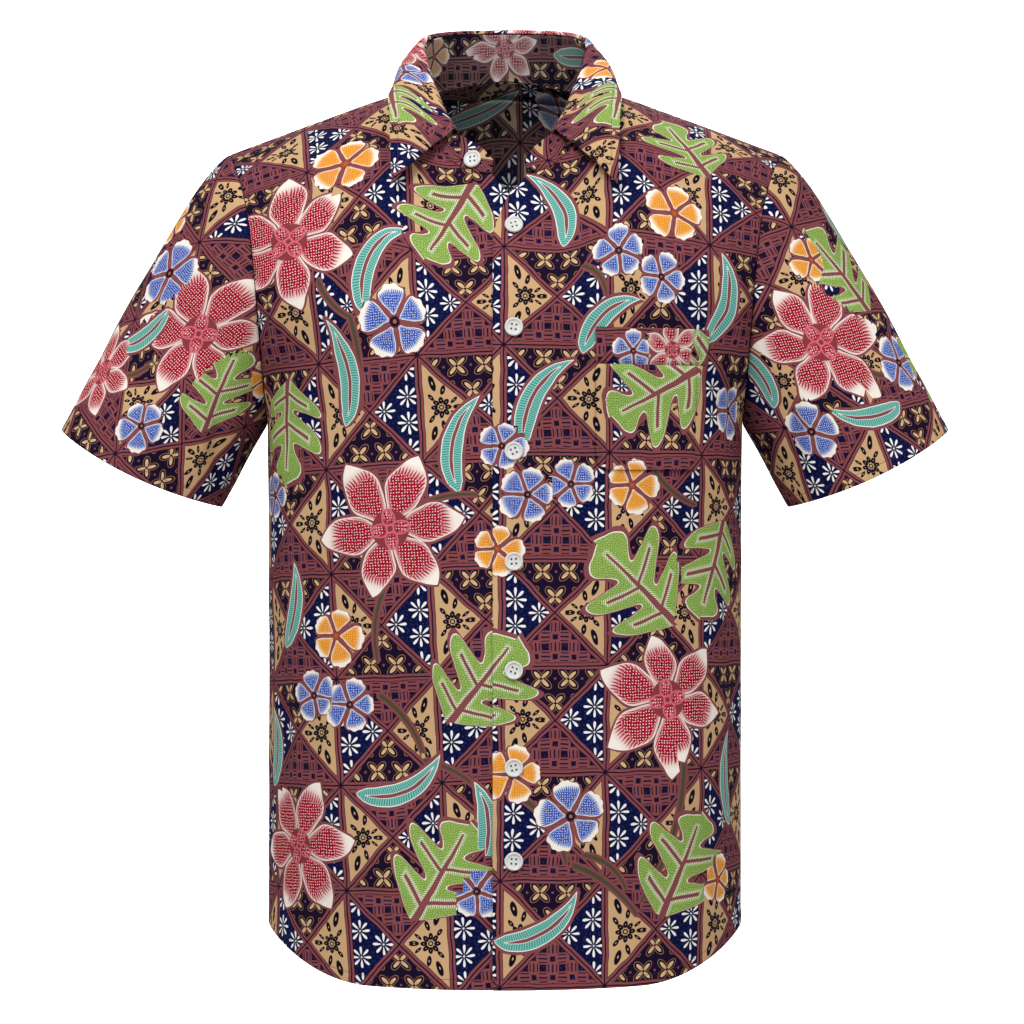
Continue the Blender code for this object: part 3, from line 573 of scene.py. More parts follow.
# ---------------------------------------------------------------- creases, seams and hems
def creased(uv, table):
    """Height of a panel's soft troughs (-) and ridges (+), each row from one place of the
    flat cloth to another: (u0, v0, u1, v1, bow, height mm, half width mm)."""
    out = np.zeros(uv.shape[:-1])
    for u0, v0, u1, v1, bow, height, wide in table:
        a, b = np.array([u0, v0]), np.array([u1, v1])
        d = b - a
        length = np.linalg.norm(d)
        d = d / length
        rel = uv - a
        t = (rel @ d) / length
        n = rel @ np.array([-d[1], d[0]]) - bow * 4 * t * (1 - t)
        spread = wide / 1000 * (0.75 + 0.5 * np.clip(t, 0, 1))
        fade = np.exp(-np.maximum(np.abs(t - 0.5) - 0.30, 0) ** 2 / 0.035)
        out += height / 1000 * np.exp(-(n / spread) ** 2) * fade
    return out


WAVES = ((7.1, 3.0, 0.4, 0.55), (-4.3, 8.7, 2.1, 0.45), (11.9, -6.3, 1.2, 0.30), (3.1, 15.7, 4.0, 0.25),
         (17.3, 9.1, 0.7, 0.16), (-21.7, 5.3, 3.3, 0.13), (26.3, -19.1, 5.1, 0.08))


def rippled(uv, by):
    """Slow unevenness of worn cloth, in metres."""
    out = np.zeros(uv.shape[:-1])
    for ku, kv, phase, height in WAVES:
        out += height * np.sin(2 * math.pi * (ku * uv[..., 0] + kv * uv[..., 1]) + phase)
    return out * by


# ---------------------------------------------------------------- meshes
def outward(points, ring, flip):
    p = np.concatenate([points[:, -1:], points, points[:, :1]], 1) if ring else points
    n = np.cross(np.gradient(p, axis=0), np.gradient(p, axis=1))
    n = n[:, 1:-1] if ring else n
    n /= np.maximum(np.linalg.norm(n, axis=-1, keepdims=True), 1e-12)
    return -n if flip else n


HEM_DEEP, HEM_PLY = 0.0095, 0.0007
CLOTH_T = 0.0008


def shell(name, points, uv, flip=False, ring=False, edges=None, table=(), ripple=0.0, motifs=(), stems=(),
          thick=CLOTH_T, lift=0.0, shift=None, grain=((0.0, 0.0), 0.0), form=None):
    """A closed sheet of cloth. uv holds each point's flat place (one more column on a ring).
    edges says what each side of the grid is: seam, fold, hem or none. form is the flat place
    of the cloth a pocket lies on, whose creases it takes."""
    edges = edges or {}
    rows, cols = points.shape[:2]
    wide = uv.shape[1]
    n = outward(points, ring, flip)
    plain_uv = uv[:, :cols]
    # ways in from each side of the grid
    down, across = lengths(points, 0), lengths(points, 1)
    ways = {"top": down, "bottom": down[-1:] - down, "left": across, "right": across[:, -1:] - across}
    on = plain_uv if form is None else form
    height = creased(on, table) + rippled(on, ripple)
    room = np.ones((rows, cols))
    wall = np.full((rows, cols), thick)
    for side, what in edges.items():
        w = ways[side]
        room = room * (1 - 0.9 * np.exp(-(w / 0.014) ** 2)) if what in ("seam", "felled", "hem", "fold") and form is None else room
    height = height * room + lift
    best = np.full((rows, cols), 1.0)
    along = np.zeros((rows, cols))
    style = np.zeros((rows, cols))
    for side, what in edges.items():
        w = ways[side]
        run = across if side in ("top", "bottom") else down
        if what in ("seam", "felled"):
            height = height - 0.00055 * np.exp(-(w / 0.0011) ** 2)
        if what == "felled":
            height = height + 0.00035 * (smooth((w - 0.0012) / 0.001) - smooth((w - 0.0075) / 0.0012))
        if what == "hem":
            fold = 1 - smooth((w - HEM_DEEP) / 0.0015)
            wall = wall + HEM_PLY * fold
            height = height + 0.00025 * fold - 0.00035 * np.exp(-(w / 0.0010) ** 2)
        if what == "fold":
            wall = wall + 0.0003 * (1 - smooth((w - 0.03) / 0.003))
            height = height - 0.0004 * np.exp(-(w / 0.0010) ** 2)
        code = {"felled": 1.0, "hem": 2.0, "edge": 3.0}.get(what, 0.0)
        if code:
            near = w < best
            best, along, style = np.where(near, w, best), np.where(near, run, along), np.where(near, code, style)
    outer = points + n * height[..., None]
    if shift is not None:
        outer = outer + shift
    inner = outer - n * wall[..., None]
    vertices = np.concatenate([outer.reshape(-1, 3), inner.reshape(-1, 3)])
    count = rows * cols
    j, i = np.meshgrid(np.arange(rows - 1), np.arange(wide - 1 if ring else cols - 1), indexing="ij")
    j, i = j.ravel(), i.ravel()
    corner_j = np.stack([j, j + 1, j + 1, j], 1)
    corner_i = np.stack([i, i, i + 1, i + 1], 1)
    if flip:
        corner_j, corner_i = corner_j[:, ::-1], corner_i[:, ::-1]
    faces, js, iss, inside = [], [], [], []

    def ids(a, b, layer):
        return layer * count + a * cols + b % cols

    faces.append(ids(corner_j, corner_i, 0))
    faces.append(ids(corner_j, corner_i, 1)[:, ::-1])
    js += [corner_j, corner_j[:, ::-1]]
    iss += [corner_i, corner_i[:, ::-1]]
    inside += [np.zeros(len(j)), np.ones(len(j))]
    borders = []
    c = np.arange(wide - 1 if ring else cols - 1)
    r = np.arange(rows - 1)
    borders.append((np.zeros_like(c), c, np.zeros_like(c), c + 1))
    borders.append((np.full_like(c, rows - 1), c + 1, np.full_like(c, rows - 1), c))
    if not ring:
        borders.append((r + 1, np.zeros_like(r), r, np.zeros_like(r)))
        borders.append((r, np.full_like(r, cols - 1), r + 1, np.full_like(r, cols - 1)))
    for aj, ai, bj, bi in borders:
        qj = np.stack([aj, bj, bj, aj], 1)
        qi = np.stack([ai, bi, bi, ai], 1)
        layer = np.array([[0, 0, 1, 1]])
        if flip:
            qj, qi, layer = qj[:, ::-1], qi[:, ::-1], layer[:, ::-1]
        faces.append(layer * count + qj * cols + qi % cols)
        js.append(qj)
        iss.append(qi)
        inside.append(np.full(len(qj), 0.5))
    faces, js, iss, inside = np.concatenate(faces), np.concatenate(js), np.concatenate(iss), np.concatenate(inside)
    mesh = bpy.data.meshes.new(name)
    mesh.vertices.add(len(vertices))
    mesh.vertices.foreach_set("co", vertices.ravel())
    mesh.loops.add(faces.size)
    mesh.loops.foreach_set("vertex_index", faces.ravel().astype(np.int32))
    mesh.polygons.add(len(faces))
    mesh.polygons.foreach_set("loop_start", np.arange(0, faces.size, 4, dtype=np.int32))
    mesh.polygons.foreach_set("loop_total", np.full(len(faces), 4, dtype=np.int32))
    mesh.update(calc_edges=True)
    mesh.validate()
    corner_uv = uv[js, np.minimum(iss, wide - 1)]                        # faces, 4, 2
    layer = mesh.uv_layers.new(name="cloth")
    layer.data.foreach_set("uv", turned(corner_uv, *grain).astype(np.float32).ravel())
    kinds, first, second = printed(corner_uv, motifs, stems)
    pick = np.minimum(iss, cols - 1)
    sewn = np.stack([best[js, pick], along[js, pick], style[js, pick]], -1)
    for label, values in (("motif", first[0]), ("dye", first[1]), ("stem", second), ("sewn", sewn)):
        a = mesh.attributes.new(label, "FLOAT_VECTOR", "CORNER")
        a.data.foreach_set("vector", values.astype(np.float32).ravel())
    # inside: 1 on inner faces, 0.5 on rims; the shader darkens these as painted shade
    a = mesh.attributes.new("inside", "FLOAT", "FACE")
    a.data.foreach_set("value", inside.astype(np.float32))
    used = sorted(set(kinds.tolist()))
    for k in used:
        mesh.materials.append(cloth_material(k))
    mesh.polygons.foreach_set("material_index", np.array([used.index(k) for k in kinds.tolist()], dtype=np.int32))
    mesh.polygons.foreach_set("use_smooth", np.ones(len(faces), dtype=bool))
    obj = bpy.data.objects.new(name, mesh)
    bpy.context.scene.collection.objects.link(obj)
    return obj


# ---------------------------------------------------------------- where the print's motifs lie
# Kinds: 1 large red flower, 2 small flower, 3 lobed green leaf, 4 curved teal leaf.
KIND = {"red": 1, "small": 2, "green": 3, "teal": 4}
GROWN = {"red": 1.36, "small": 1.06, "green": 1.14, "teal": 1.12}   # over the tables' sizes


def bent(x, y, bend):
    """Coordinates along and across an arc of curvature bend through the origin."""
    if abs(bend) < 1e-6:
        return x, y
    r = 1.0 / bend
    sign = 1.0 if bend > 0 else -1.0
    rho = np.hypot(x, r - y)
    return np.arctan2(x * sign, (r - y) * sign) / bend, (r - sign * rho)


def local(corner_uv, motif):
    kind, u, v, degrees, size = motif[:5]
    p = turned(corner_uv, (u, v), degrees)
    x, y = p[..., 0], p[..., 1]
    if kind == "teal":
        x, y = bent(x, y, motif[5] * 2.1)
    return x, y


def reach(x, y, kind, size):
    """About how far a place is from a motif, 1 at the end of its halo."""
    if kind == "red":
        return np.hypot(x, y) / (size + 0.004)
    if kind == "small":
        return np.hypot(x, y) / (size + 0.004)
    if kind == "green":
        return np.hypot((x - size * 0.5) / (size * 0.62 + 0.003), y / (size * 0.52 + 0.003))
    return np.maximum(np.abs(x) / (size * 0.5 + 0.003), np.abs(y) / 0.0125)


def printed(corner_uv, motifs, stems):
    """Each face's kind of print, and the corner values that its shader reads."""
    count = len(corner_uv)
    centre = corner_uv.mean(1)
    best = np.full(count, 1.12)
    kinds = np.zeros(count, int)
    first = [np.zeros((count, 4, 3)), np.zeros((count, 4, 3))]
    for number, motif in enumerate(motifs):
        kind, size = motif[0], motif[4] * GROWN[motif[0]]
        tint = motif[5] if kind == "small" else 0.0
        x, y = local(corner_uv, motif)
        spread = np.maximum(np.abs(x - x[:, :1]).max(1), np.abs(y - y[:, :1]).max(1))
        d = reach(x, y, kind, size).min(1)
        near = (d < best) & (spread < 0.03)
        best = np.where(near, d, best)
        kinds = np.where(near, KIND[kind], kinds)
        place = np.stack([x, y, np.full_like(x, size)], -1)
        other = np.stack([np.full_like(x, tint), np.full_like(x, (number * 0.37) % 1.0), np.zeros_like(x)], -1)
        first[0] = np.where(near[:, None, None], place, first[0])
        first[1] = np.where(near[:, None, None], other, first[1])
    second = np.zeros((count, 4, 3))
    best = np.full(count, 0.0065)
    for u0, v0, u1, v1, bow, half in stems:
        a, b = np.array([u0, v0]), np.array([u1, v1])
        d = b - a
        length = np.linalg.norm(d)
        d = d / length
        rel = corner_uv - a
        t = (rel @ d) / length
        n = rel @ np.array([-d[1], d[0]]) - bow * 4 * t * (1 - t)
        beyond = (np.maximum(np.abs(t - 0.5) - 0.5, 0) * length)
        far = np.hypot(n, beyond).min(1)
        near = far < best
        best = np.where(near, far, best)
        kinds = np.where(near, kinds % 10 + 10, kinds)
        place = np.stack([t, n, np.full_like(n, half)], -1)
        second = np.where(near[:, None, None], place, second)
    return kinds, first, second


# ---------------------------------------------------------------- shader nodes, written as sums
class Ink:
    """A number or colour inside a material's node tree, with the usual operators."""

    tree = None

    def __init__(self, socket):
        self.socket = socket

    def __add__(self, o):
        return sum2("ADD", self, o)

    def __radd__(self, o):
        return sum2("ADD", o, self)

    def __sub__(self, o):
        return sum2("SUBTRACT", self, o)

    def __rsub__(self, o):
        return sum2("SUBTRACT", o, self)

    def __mul__(self, o):
        return sum2("MULTIPLY", self, o)

    def __rmul__(self, o):
        return sum2("MULTIPLY", o, self)

    def __truediv__(self, o):
        return sum2("DIVIDE", self, o)

    def __rtruediv__(self, o):
        return sum2("DIVIDE", o, self)

    def __neg__(self):
        return sum2("MULTIPLY", self, -1.0)


def put(socket, value):
    if isinstance(value, Ink):
        Ink.tree.links.new(value.socket, socket)
    elif isinstance(value, str):
        socket.default_value = dye(value)
    else:
        socket.default_value = value


def sum2(op, *values, clamp=False):
    n = Ink.tree.nodes.new("ShaderNodeMath")
    n.operation, n.use_clamp = op, clamp
    for k, v in enumerate(values):
        put(n.inputs[k], v)
    return Ink(n.outputs[0])


def mag(a):
    return sum2("ABSOLUTE", a)


def floor(a):
    return sum2("FLOOR", a)


def fract(a):
    return sum2("FRACT", a)


def root(a):
    return sum2("SQRT", a)


def wave(a):
    return sum2("SINE", a)


def least(*a):
    out = a[0]
    for b in a[1:]:
        out = sum2("MINIMUM", out, b)
    return out


def most(*a):
    out = a[0]
    for b in a[1:]:
        out = sum2("MAXIMUM", out, b)
    return out


def above(a, limit):
    return sum2("GREATER_THAN", a, limit)


def below(a, limit):
    return sum2("LESS_THAN", a, limit)


def ramp(a, x0, x1, y0=0.0, y1=1.0):
    """a taken from x0..x1 to y0..y1, held at the ends."""
    n = Ink.tree.nodes.new("ShaderNodeMapRange")
    for k, v in enumerate((a, x0, x1, y0, y1)):
        put(n.inputs[k], v)
    return Ink(n.outputs[0])


def under(a, limit, soft=0.00012):
    """1 where a is under a limit, with an edge a little soft, as dye has."""
    return ramp(a, limit - soft, limit + soft, 1.0, 0.0)


def curve(a, points):
    n = Ink.tree.nodes.new("ShaderNodeFloatCurve")
    c = n.mapping.curves[0]
    c.points[0].location, c.points[1].location = points[0], points[-1]
    for p in points[1:-1]:
        c.points.new(*p)
    n.mapping.update()
    put(n.inputs[1], a)
    return Ink(n.outputs[0])


def joined(x, y, z=0.0):
    n = Ink.tree.nodes.new("ShaderNodeCombineXYZ")
    for k, v in enumerate((x, y, z)):
        put(n.inputs[k], v)
    return Ink(n.outputs[0])


def parts(vector):
    n = Ink.tree.nodes.new("ShaderNodeSeparateXYZ")
    put(n.inputs[0], vector)
    return tuple(Ink(o) for o in n.outputs)


def long(vector):
    n = Ink.tree.nodes.new("ShaderNodeVectorMath")
    n.operation = "LENGTH"
    put(n.inputs[0], vector)
    return Ink(n.outputs["Value"])


def oval(vector, x, y, half_x, half_y, degrees=0.0):
    """Distance from an oval's middle, 1 on its outline."""
    n = Ink.tree.nodes.new("ShaderNodeMapping")
    n.vector_type = "TEXTURE"
    n.inputs["Location"].default_value = (x, y, 0)
    n.inputs["Rotation"].default_value = (0, 0, math.radians(degrees))
    n.inputs["Scale"].default_value = (half_x, half_y, 1)
    put(n.inputs["Vector"], vector)
    return long(Ink(n.outputs[0]))


def scaled(vector, by):
    n = Ink.tree.nodes.new("ShaderNodeVectorMath")
    n.operation = "SCALE"
    put(n.inputs[0], vector)
    put(n.inputs["Scale"], by)
    return Ink(n.outputs[0])


def plus(a, b):
    n = Ink.tree.nodes.new("ShaderNodeVectorMath")
    n.operation = "ADD"
    put(n.inputs[0], a)
    put(n.inputs[1], b)
    return Ink(n.outputs[0])


def noise(vector, scale, detail=1.0, colour=False):
    n = Ink.tree.nodes.new("ShaderNodeTexNoise")
    n.noise_dimensions = "2D"
    put(n.inputs["Vector"], vector)
    n.inputs["Scale"].default_value = scale
    n.inputs["Detail"].default_value = detail
    return Ink(n.outputs["Color" if colour else 0])


def cells(vector, scale, feature="F1", randomness=1.0):
    n = Ink.tree.nodes.new("ShaderNodeTexVoronoi")
    n.voronoi_dimensions, n.feature = "2D", feature
    put(n.inputs["Vector"], vector)
    n.inputs["Scale"].default_value = scale
    n.inputs["Randomness"].default_value = randomness
    return Ink(n.outputs["Distance"])


def mixed(mask, a, b):
    """Colour a with b over it where mask is 1."""
    n = Ink.tree.nodes.new("ShaderNodeMix")
    n.data_type = "RGBA"
    put(n.inputs[0], mask)
    put(n.inputs[6], a)
    put(n.inputs[7], b)
    return Ink(n.outputs[2])


def attribute(name, output="Vector"):
    n = Ink.tree.nodes.new("ShaderNodeAttribute")
    n.attribute_name = name
    return Ink(n.outputs[output])


# ---------------------------------------------------------------- dyes
DYES = {  # hex as seen
    "mauve": "86484b", "mauve_deep": "6f3639", "purple": "170826", "navy": "050a36", "navy_light": "24378a",
    "tan": "cda67a", "loop": "94684a", "tan_light": "dfbb88", "cream": "f8efe4", "crimson": "a30f2c", "mauve_red": "8a383d", "pink": "d4707c",
    "blue": "3957ae", "blue_light": "8ea8de", "orange": "e6921c", "orange_light": "f0b455", "rust": "b84a26",
    "green": "a0bd60", "green_deep": "557d32", "teal": "62b0a4", "teal_deep": "237c74", "mint": "b2dcd0",
    "olive": "4c4b34", "white": "f6f3ef", "ink": "0a061c", "thread": "58323a",
    "bone": "d2d0cc", "bone_light": "dfdedb",
}


def dye(name):
    h = DYES[name]
    c = [int(h[k:k + 2], 16) / 255 for k in (0, 2, 4)]
    return tuple(((x + 0.055) / 1.055) ** 2.4 if x > 0.04045 else x / 12.92 for x in c) + (1.0,)


# ---------------------------------------------------------------- the print
CELL = 0.0836


def tambal(u, v, place):
    """The repeat under the flowers: cells cut by both diagonals, each quarter with its
    own small pattern, parted by mauve bands and thin dark lines."""
    cu, cv = u / CELL, v / CELL
    fu, fv = fract(cu) - 0.5, fract(cv) - 0.5
    row, col = mag(fract(floor(cv) * 0.5) * 2.0), mag(fract(floor(cu) * 0.5) * 2.0)
    au, av = mag(fu), mag(fv)
    side = above(au, av)
    deep = (0.5 - most(au, av)) * CELL                 # in from the cell's outline
    edge = least(mag(au - av) * (0.7071 * CELL), deep)
    run = (fv * side + fu * (1.0 - side)) * CELL       # along the cell's outline
    navy = mag(row - below(fu, 0.0))
    cross = mag(col - above(fv, 0.0))
    # bricks shared by the stars and the crosses
    brick = floor(deep / 0.0196)
    by = deep - (brick + 0.5) * 0.0196
    bx = (fract(run / 0.0209 + 0.5 * brick) - 0.5) * 0.0209
    r = long(joined(bx, by))
    a = sum2("ARCTAN2", by, bx)
    # stars: eight drops of white and specks on navy
    off = (fract(a * (8 / (2 * math.pi)) + 0.5) - 0.5) * (2 * math.pi / 8)
    t = ramp(r, 0.0017, 0.0089)
    drop = t * root(1.0 - t * t) * 0.0021
    star = under(mag(off) * r - drop, 0.0, 0.0001)
    star = most(star * below(r, 0.0088), under(r, 0.0007))
    speck = cells(place, 300.0, randomness=0.85)
    ground_navy = mixed(under(speck, 0.20, 0.06) * 0.5, "navy", "navy_light")
    stars = mixed(star, ground_navy, "white")
    # crosses of four tan petals on dark purple, each in its loop
    off4 = (fract(a * (4 / (2 * math.pi))) - 0.5) * (2 * math.pi / 4)
    leaf_place = joined(r * sum2("COSINE", off4), r * wave(off4))
    petal = oval(leaf_place, 0.0043, 0, 0.0037, 0.00135)
    loop = oval(leaf_place, 0.0053, 0, 0.0049, 0.0029)
    rim = under(mag(loop - 1.0), 0.075, 0.03) * above(petal, 1.25)
    bead = under(long(joined(mag(bx) - 0.01045, by)), 0.0010)
    crosses = mixed(bead, "purple", "mauve")
    crosses = mixed(rim, crosses, "loop")
    crosses = mixed(under(petal, 1.0, 0.08) * above(r, 0.0010), crosses, mixed(ramp(r, 0.002, 0.007), "tan", "tan_light"))
    # lattice of dark squares and bars on mauve
    lx = mag(fract(run / 0.0150) - 0.5) * 0.0150
    ly = mag(fract(deep / 0.0150 + 0.5) - 0.5) * 0.0150
    high, low = most(lx, ly), least(lx, ly)
    dark = most(under(high, 0.0028), under(-low, -0.0055), under(-high, -0.0069) * under(low, 0.0034))
    dark = most(dark, under(mag(high - 0.0044), 0.00042) * under(low, 0.0032))
    lattice = mixed(dark, "mauve", mixed(under(speck, 0.22, 0.06) * 0.35, "purple", "navy_light"))
    # sprig on tan: a rosette with leaves along the band and toward the middle
    sprig_place = joined(deep - 0.0165, mag(run))
    sr = long(sprig_place)
    sa = sum2("ARCTAN2", run, deep - 0.0165)
    soff = (fract(sa * (8 / (2 * math.pi)) + 0.5) - 0.5) * (2 * math.pi / 8)
    rose = oval(joined(sr, wave(soff) * sr), 0.0054, 0, 0.0027, 0.00190)
    leaves = least(oval(sprig_place, -0.0060, 0.0196, 0.0024, 0.0063, 17),
                   oval(sprig_place, 0.0020, 0.0136, 0.0019, 0.0042, -14),
                   oval(sprig_place, 0.0132, 0.0006, 0.0040, 0.0014, 4),
                   oval(sprig_place, 0.0100, 0.0052, 0.0034, 0.0012, 38))
    leaves = least(leaves, oval(sprig_place, -0.0076, 0.0085, 0.0016, 0.0034, 40))
    mark = under(rose, 1.0, 0.08) * above(rose, 0.16)
    mark = most(mark, under(leaves, 1.0, 0.07) * above(leaves, 0.22), under(mag(sr - 0.0016), 0.0005))
    sprig = mixed(mark, "tan", "ink")
    fill = mixed(side, mixed(cross, lattice, crosses), mixed(navy, sprig, stars))
    # bands between the quarters
    band = mixed(under(edge, 0.00055), "mauve", "purple")
    band = mixed(under(mag(edge - 0.00285), 0.00035), band, "purple")
    return mixed(ramp(edge, 0.0028, 0.0031), band, fill)


def haloed(base, e, colour):
    """A motif over the base: colour where e (metres in from its outline) is over 0, then
    its mauve halo."""
    base = mixed(ramp(e, -0.0026, -0.0022), base, "mauve")
    base = mixed(ramp(e, -0.00045, -0.00015) * ramp(e, 0.0, 0.0002, 1.0, 0.0), base, "mauve_deep")
    return mixed(ramp(e, -0.0001, 0.0001), base, colour)


def folded(x, y, count, seed):
    """Radius, and signed way from the middle of the nearest petal from -0.5 to 0.5, with a
    number for that petal."""
    r = long(joined(x, y))
    a = sum2("ARCTAN2", y, x) * (count / (2 * math.pi)) + 0.5
    index = floor(a)
    chance = fract(wave((index + (1.0 - above(index, -count / 2 - 0.5)) * 0.0 + seed * 7.3) * 12.9898) * 437.58)
    return r, fract(a) - 0.5, chance


def red_flower(base, x, y, size, seed, place):
    r, f, chance = folded(x, y, 6, seed)
    rn = r / (size * (0.82 + chance * 0.18))
    f = mag(f + (chance - 0.5) * 0.22 * rn * rn + wave(rn * 15.0 + chance * 12.0) * 0.020)
    w = curve(rn, [(0.0, 0.30), (0.18, 0.42), (0.32, 0.475), (0.46, 0.475), (0.58, 0.425), (0.72, 0.31), (0.85, 0.175), (0.95, 0.065), (1.0, 0.0)])
    e = least((w - f) * r * 1.0, (1.0 - rn) * size * 0.6)
    # cream edge, strokes, then crimson with rows of white dots
    depth = least(e - 0.0018, (0.78 - rn) * size * 0.34)
    stroke = wave(f * 120.0 + chance * 20.0) * 0.0016
    ink = mixed(ramp(depth, -0.0022, 0.0022), "cream", "pink")
    ink = mixed(ramp(depth + stroke, 0.0004, 0.0009), ink, "crimson")
    dots = under(cells(place, 430.0, randomness=0.30), 0.200, 0.05)
    ink = mixed(dots * ramp(depth, 0.0006, 0.0020), ink, "cream")
    base = haloed(base, e, ink)
    # four buds in the middle
    k = size * 15.0
    br, bf, bc = folded(x / k, y / k, 4, seed + 3.0)
    bud = oval(joined(br, bf * br * 1.5708), 0.0096, 0.0, 0.0074, 0.0062)
    hatch = ramp(wave(bf * 34.0 + chance), -0.6, 0.3)
    bud_ink = mixed(ramp(br, 0.0060, 0.0135) * hatch, "crimson", "pink")
    bud_ink = mixed(ramp(bud, 0.70, 0.88), bud_ink, "pink")
    bud_ink = mixed(dots * under(bud, 0.62, 0.1), bud_ink, "cream")
    base = mixed(under(br, 0.0158, 0.0006), base, "mauve_red")
    return mixed(under(bud, 1.0, 0.05), base, bud_ink)


def small_flower(base, x, y, size, tint, seed, place):
    r, f, chance = folded(x, y, 5, seed)
    rn = r / (size * (0.82 + chance * 0.18))
    f = mag(f + (chance - 0.5) * 0.10)
    scallop = wave(f * 27.0 + chance * 4.0) * 0.022
    w = curve(rn + scallop, [(0.0, 0.0), (0.12, 0.06), (0.24, 0.25), (0.42, 0.36), (0.66, 0.405), (0.84, 0.37), (0.94, 0.25), (1.0, 0.0)])
    e = least((w - f) * r * 1.2, (1.0 - rn - scallop) * size * 0.8)
    strong, light = mixed(tint, "blue", "orange"), mixed(tint, "blue_light", "orange_light")
    depth = least(e - 0.0009, (0.80 - rn) * size * 0.42)
    stroke = wave(f * 110.0 + chance * 9.0) * 0.0010
    ink = mixed(ramp(depth, -0.0010, 0.0008), "cream", light)
    ink = mixed(ramp(depth + stroke, 0.0000, 0.0005), ink, strong)
    dots = under(cells(place, 540.0, randomness=0.35), 0.20, 0.06)
    ink = mixed(dots * ramp(depth, 0.0004, 0.0014) * (1.0 - tint * 0.55), ink, "cream")
    base = haloed(base, e, ink)
    eye = size * (0.125 + chance * 0.03) - r
    core = mixed(ramp(eye + stroke * 0.5, 0.0004, 0.0010), "mauve_deep", mixed(tint, "purple", "rust"))
    core = mixed(ramp(r / size, 0.040, 0.055, 1.0, 0.0), core, "loop")
    return mixed(ramp(eye, -0.0002, 0.0002), base, core)


def green_leaf(base, x, y, size, seed, place):
    s = x / size
    ay = mag(y)
    # lobes that sweep forward from the midrib
    q = s - ay / size * 0.50 + wave(s * 5.0 + seed * 9.0) * 0.03 + above(y, 0.0) * 0.035
    hw = curve(q, [(0.0, 0.0), (0.035, 0.20), (0.10, 0.38), (0.18, 0.42), (0.25, 0.20), (0.30, 0.105), (0.35, 0.24), (0.42, 0.42),
                   (0.50, 0.44), (0.565, 0.24), (0.61, 0.105), (0.66, 0.12), (0.74, 0.215), (0.83, 0.185), (0.92, 0.09), (1.0, 0.0)])
    e = (hw * size - ay) * 0.60
    e = least(e, (1.02 - s) * size, (s + 0.02) * size)
    rib = most(ay - ramp(s, 0.0, 0.9, 0.0030, 0.0007), (s - 0.84) * size)
    side1 = most(mag(q - 0.150) * size * 0.90 - 0.0013, ay - size * 0.27)
    side2 = most(mag(q - 0.465) * size * 0.90 - 0.0013, ay - size * 0.29)
    vein = least(rib, side1, side2)
    net = cells(place, 540.0, feature="DISTANCE_TO_EDGE", randomness=0.9)
    ink = mixed(under(net, 0.10, 0.05), "green", "green_deep")
    fringe = ramp(wave((s + ay / size) * size * 2900.0), -0.2, 0.5) * ramp(vein, 0.0010, 0.0030, 1.0, 0.0)
    ink = mixed(fringe * 0.9, ink, "cream")
    ink = mixed(ramp(e, 0.0003, 0.0008, 1.0, 0.0), ink, "cream")
    ink = mixed(under(vein, 0.0, 0.0002), ink, "mauve")
    return haloed(base, e, ink)


def teal_leaf(base, s, n, size, seed, place):
    t = s / size + 0.5
    hw = curve(t, [(0.0, 0.0), (0.05, 0.42), (0.16, 0.82), (0.36, 1.0), (0.58, 0.90), (0.78, 0.58), (0.92, 0.24), (1.0, 0.0)]) * 0.0086
    n = n + wave(t * 5.0 + seed * 6.0) * 0.0008
    an = mag(n)
    e = least((hw - an) * 0.95, t * size * 0.8, (1.0 - t) * size * 0.8)
    lines = wave(t * size * 3300.0 + an * 700.0)
    ink = mixed(ramp(lines, 0.3, 1.0) * 0.55, "teal", "mint")
    ink = mixed(ramp(-lines, 0.2, 0.9) * ramp(e, 0.0008, 0.002) * 0.85, ink, "teal_deep")
    slit = an - (ramp(t, 0.08, 0.25) * ramp(t, 0.66, 0.88, 1.0, 0.0)) * 0.0014
    ink = mixed(ramp(slit, 0.0002, 0.0006, 1.0, 0.0) * ramp(t, 0.08, 0.12) * ramp(t, 0.84, 0.88, 1.0, 0.0), ink, "white")
    ink = mixed(under(slit, 0.0, 0.0002) * ramp(t, 0.10, 0.14) * ramp(t, 0.80, 0.86, 1.0, 0.0), ink, "mauve")
    ink = mixed(ramp(e, 0.0004, 0.0009, 1.0, 0.0), ink, "white")
    return haloed(base, e, ink)


def stem(base, t, n, half):
    beyond = (mag(t - 0.5) - 0.5) * 0.06
    e = half * ramp(t, 0.0, 1.0, 1.25, 0.75) - most(mag(n), 0.0) - most(beyond, 0.0)
    base = mixed(ramp(e, -0.0022, -0.0018), base, "mauve")
    return mixed(ramp(e, -0.0001, 0.0001), base, "olive")


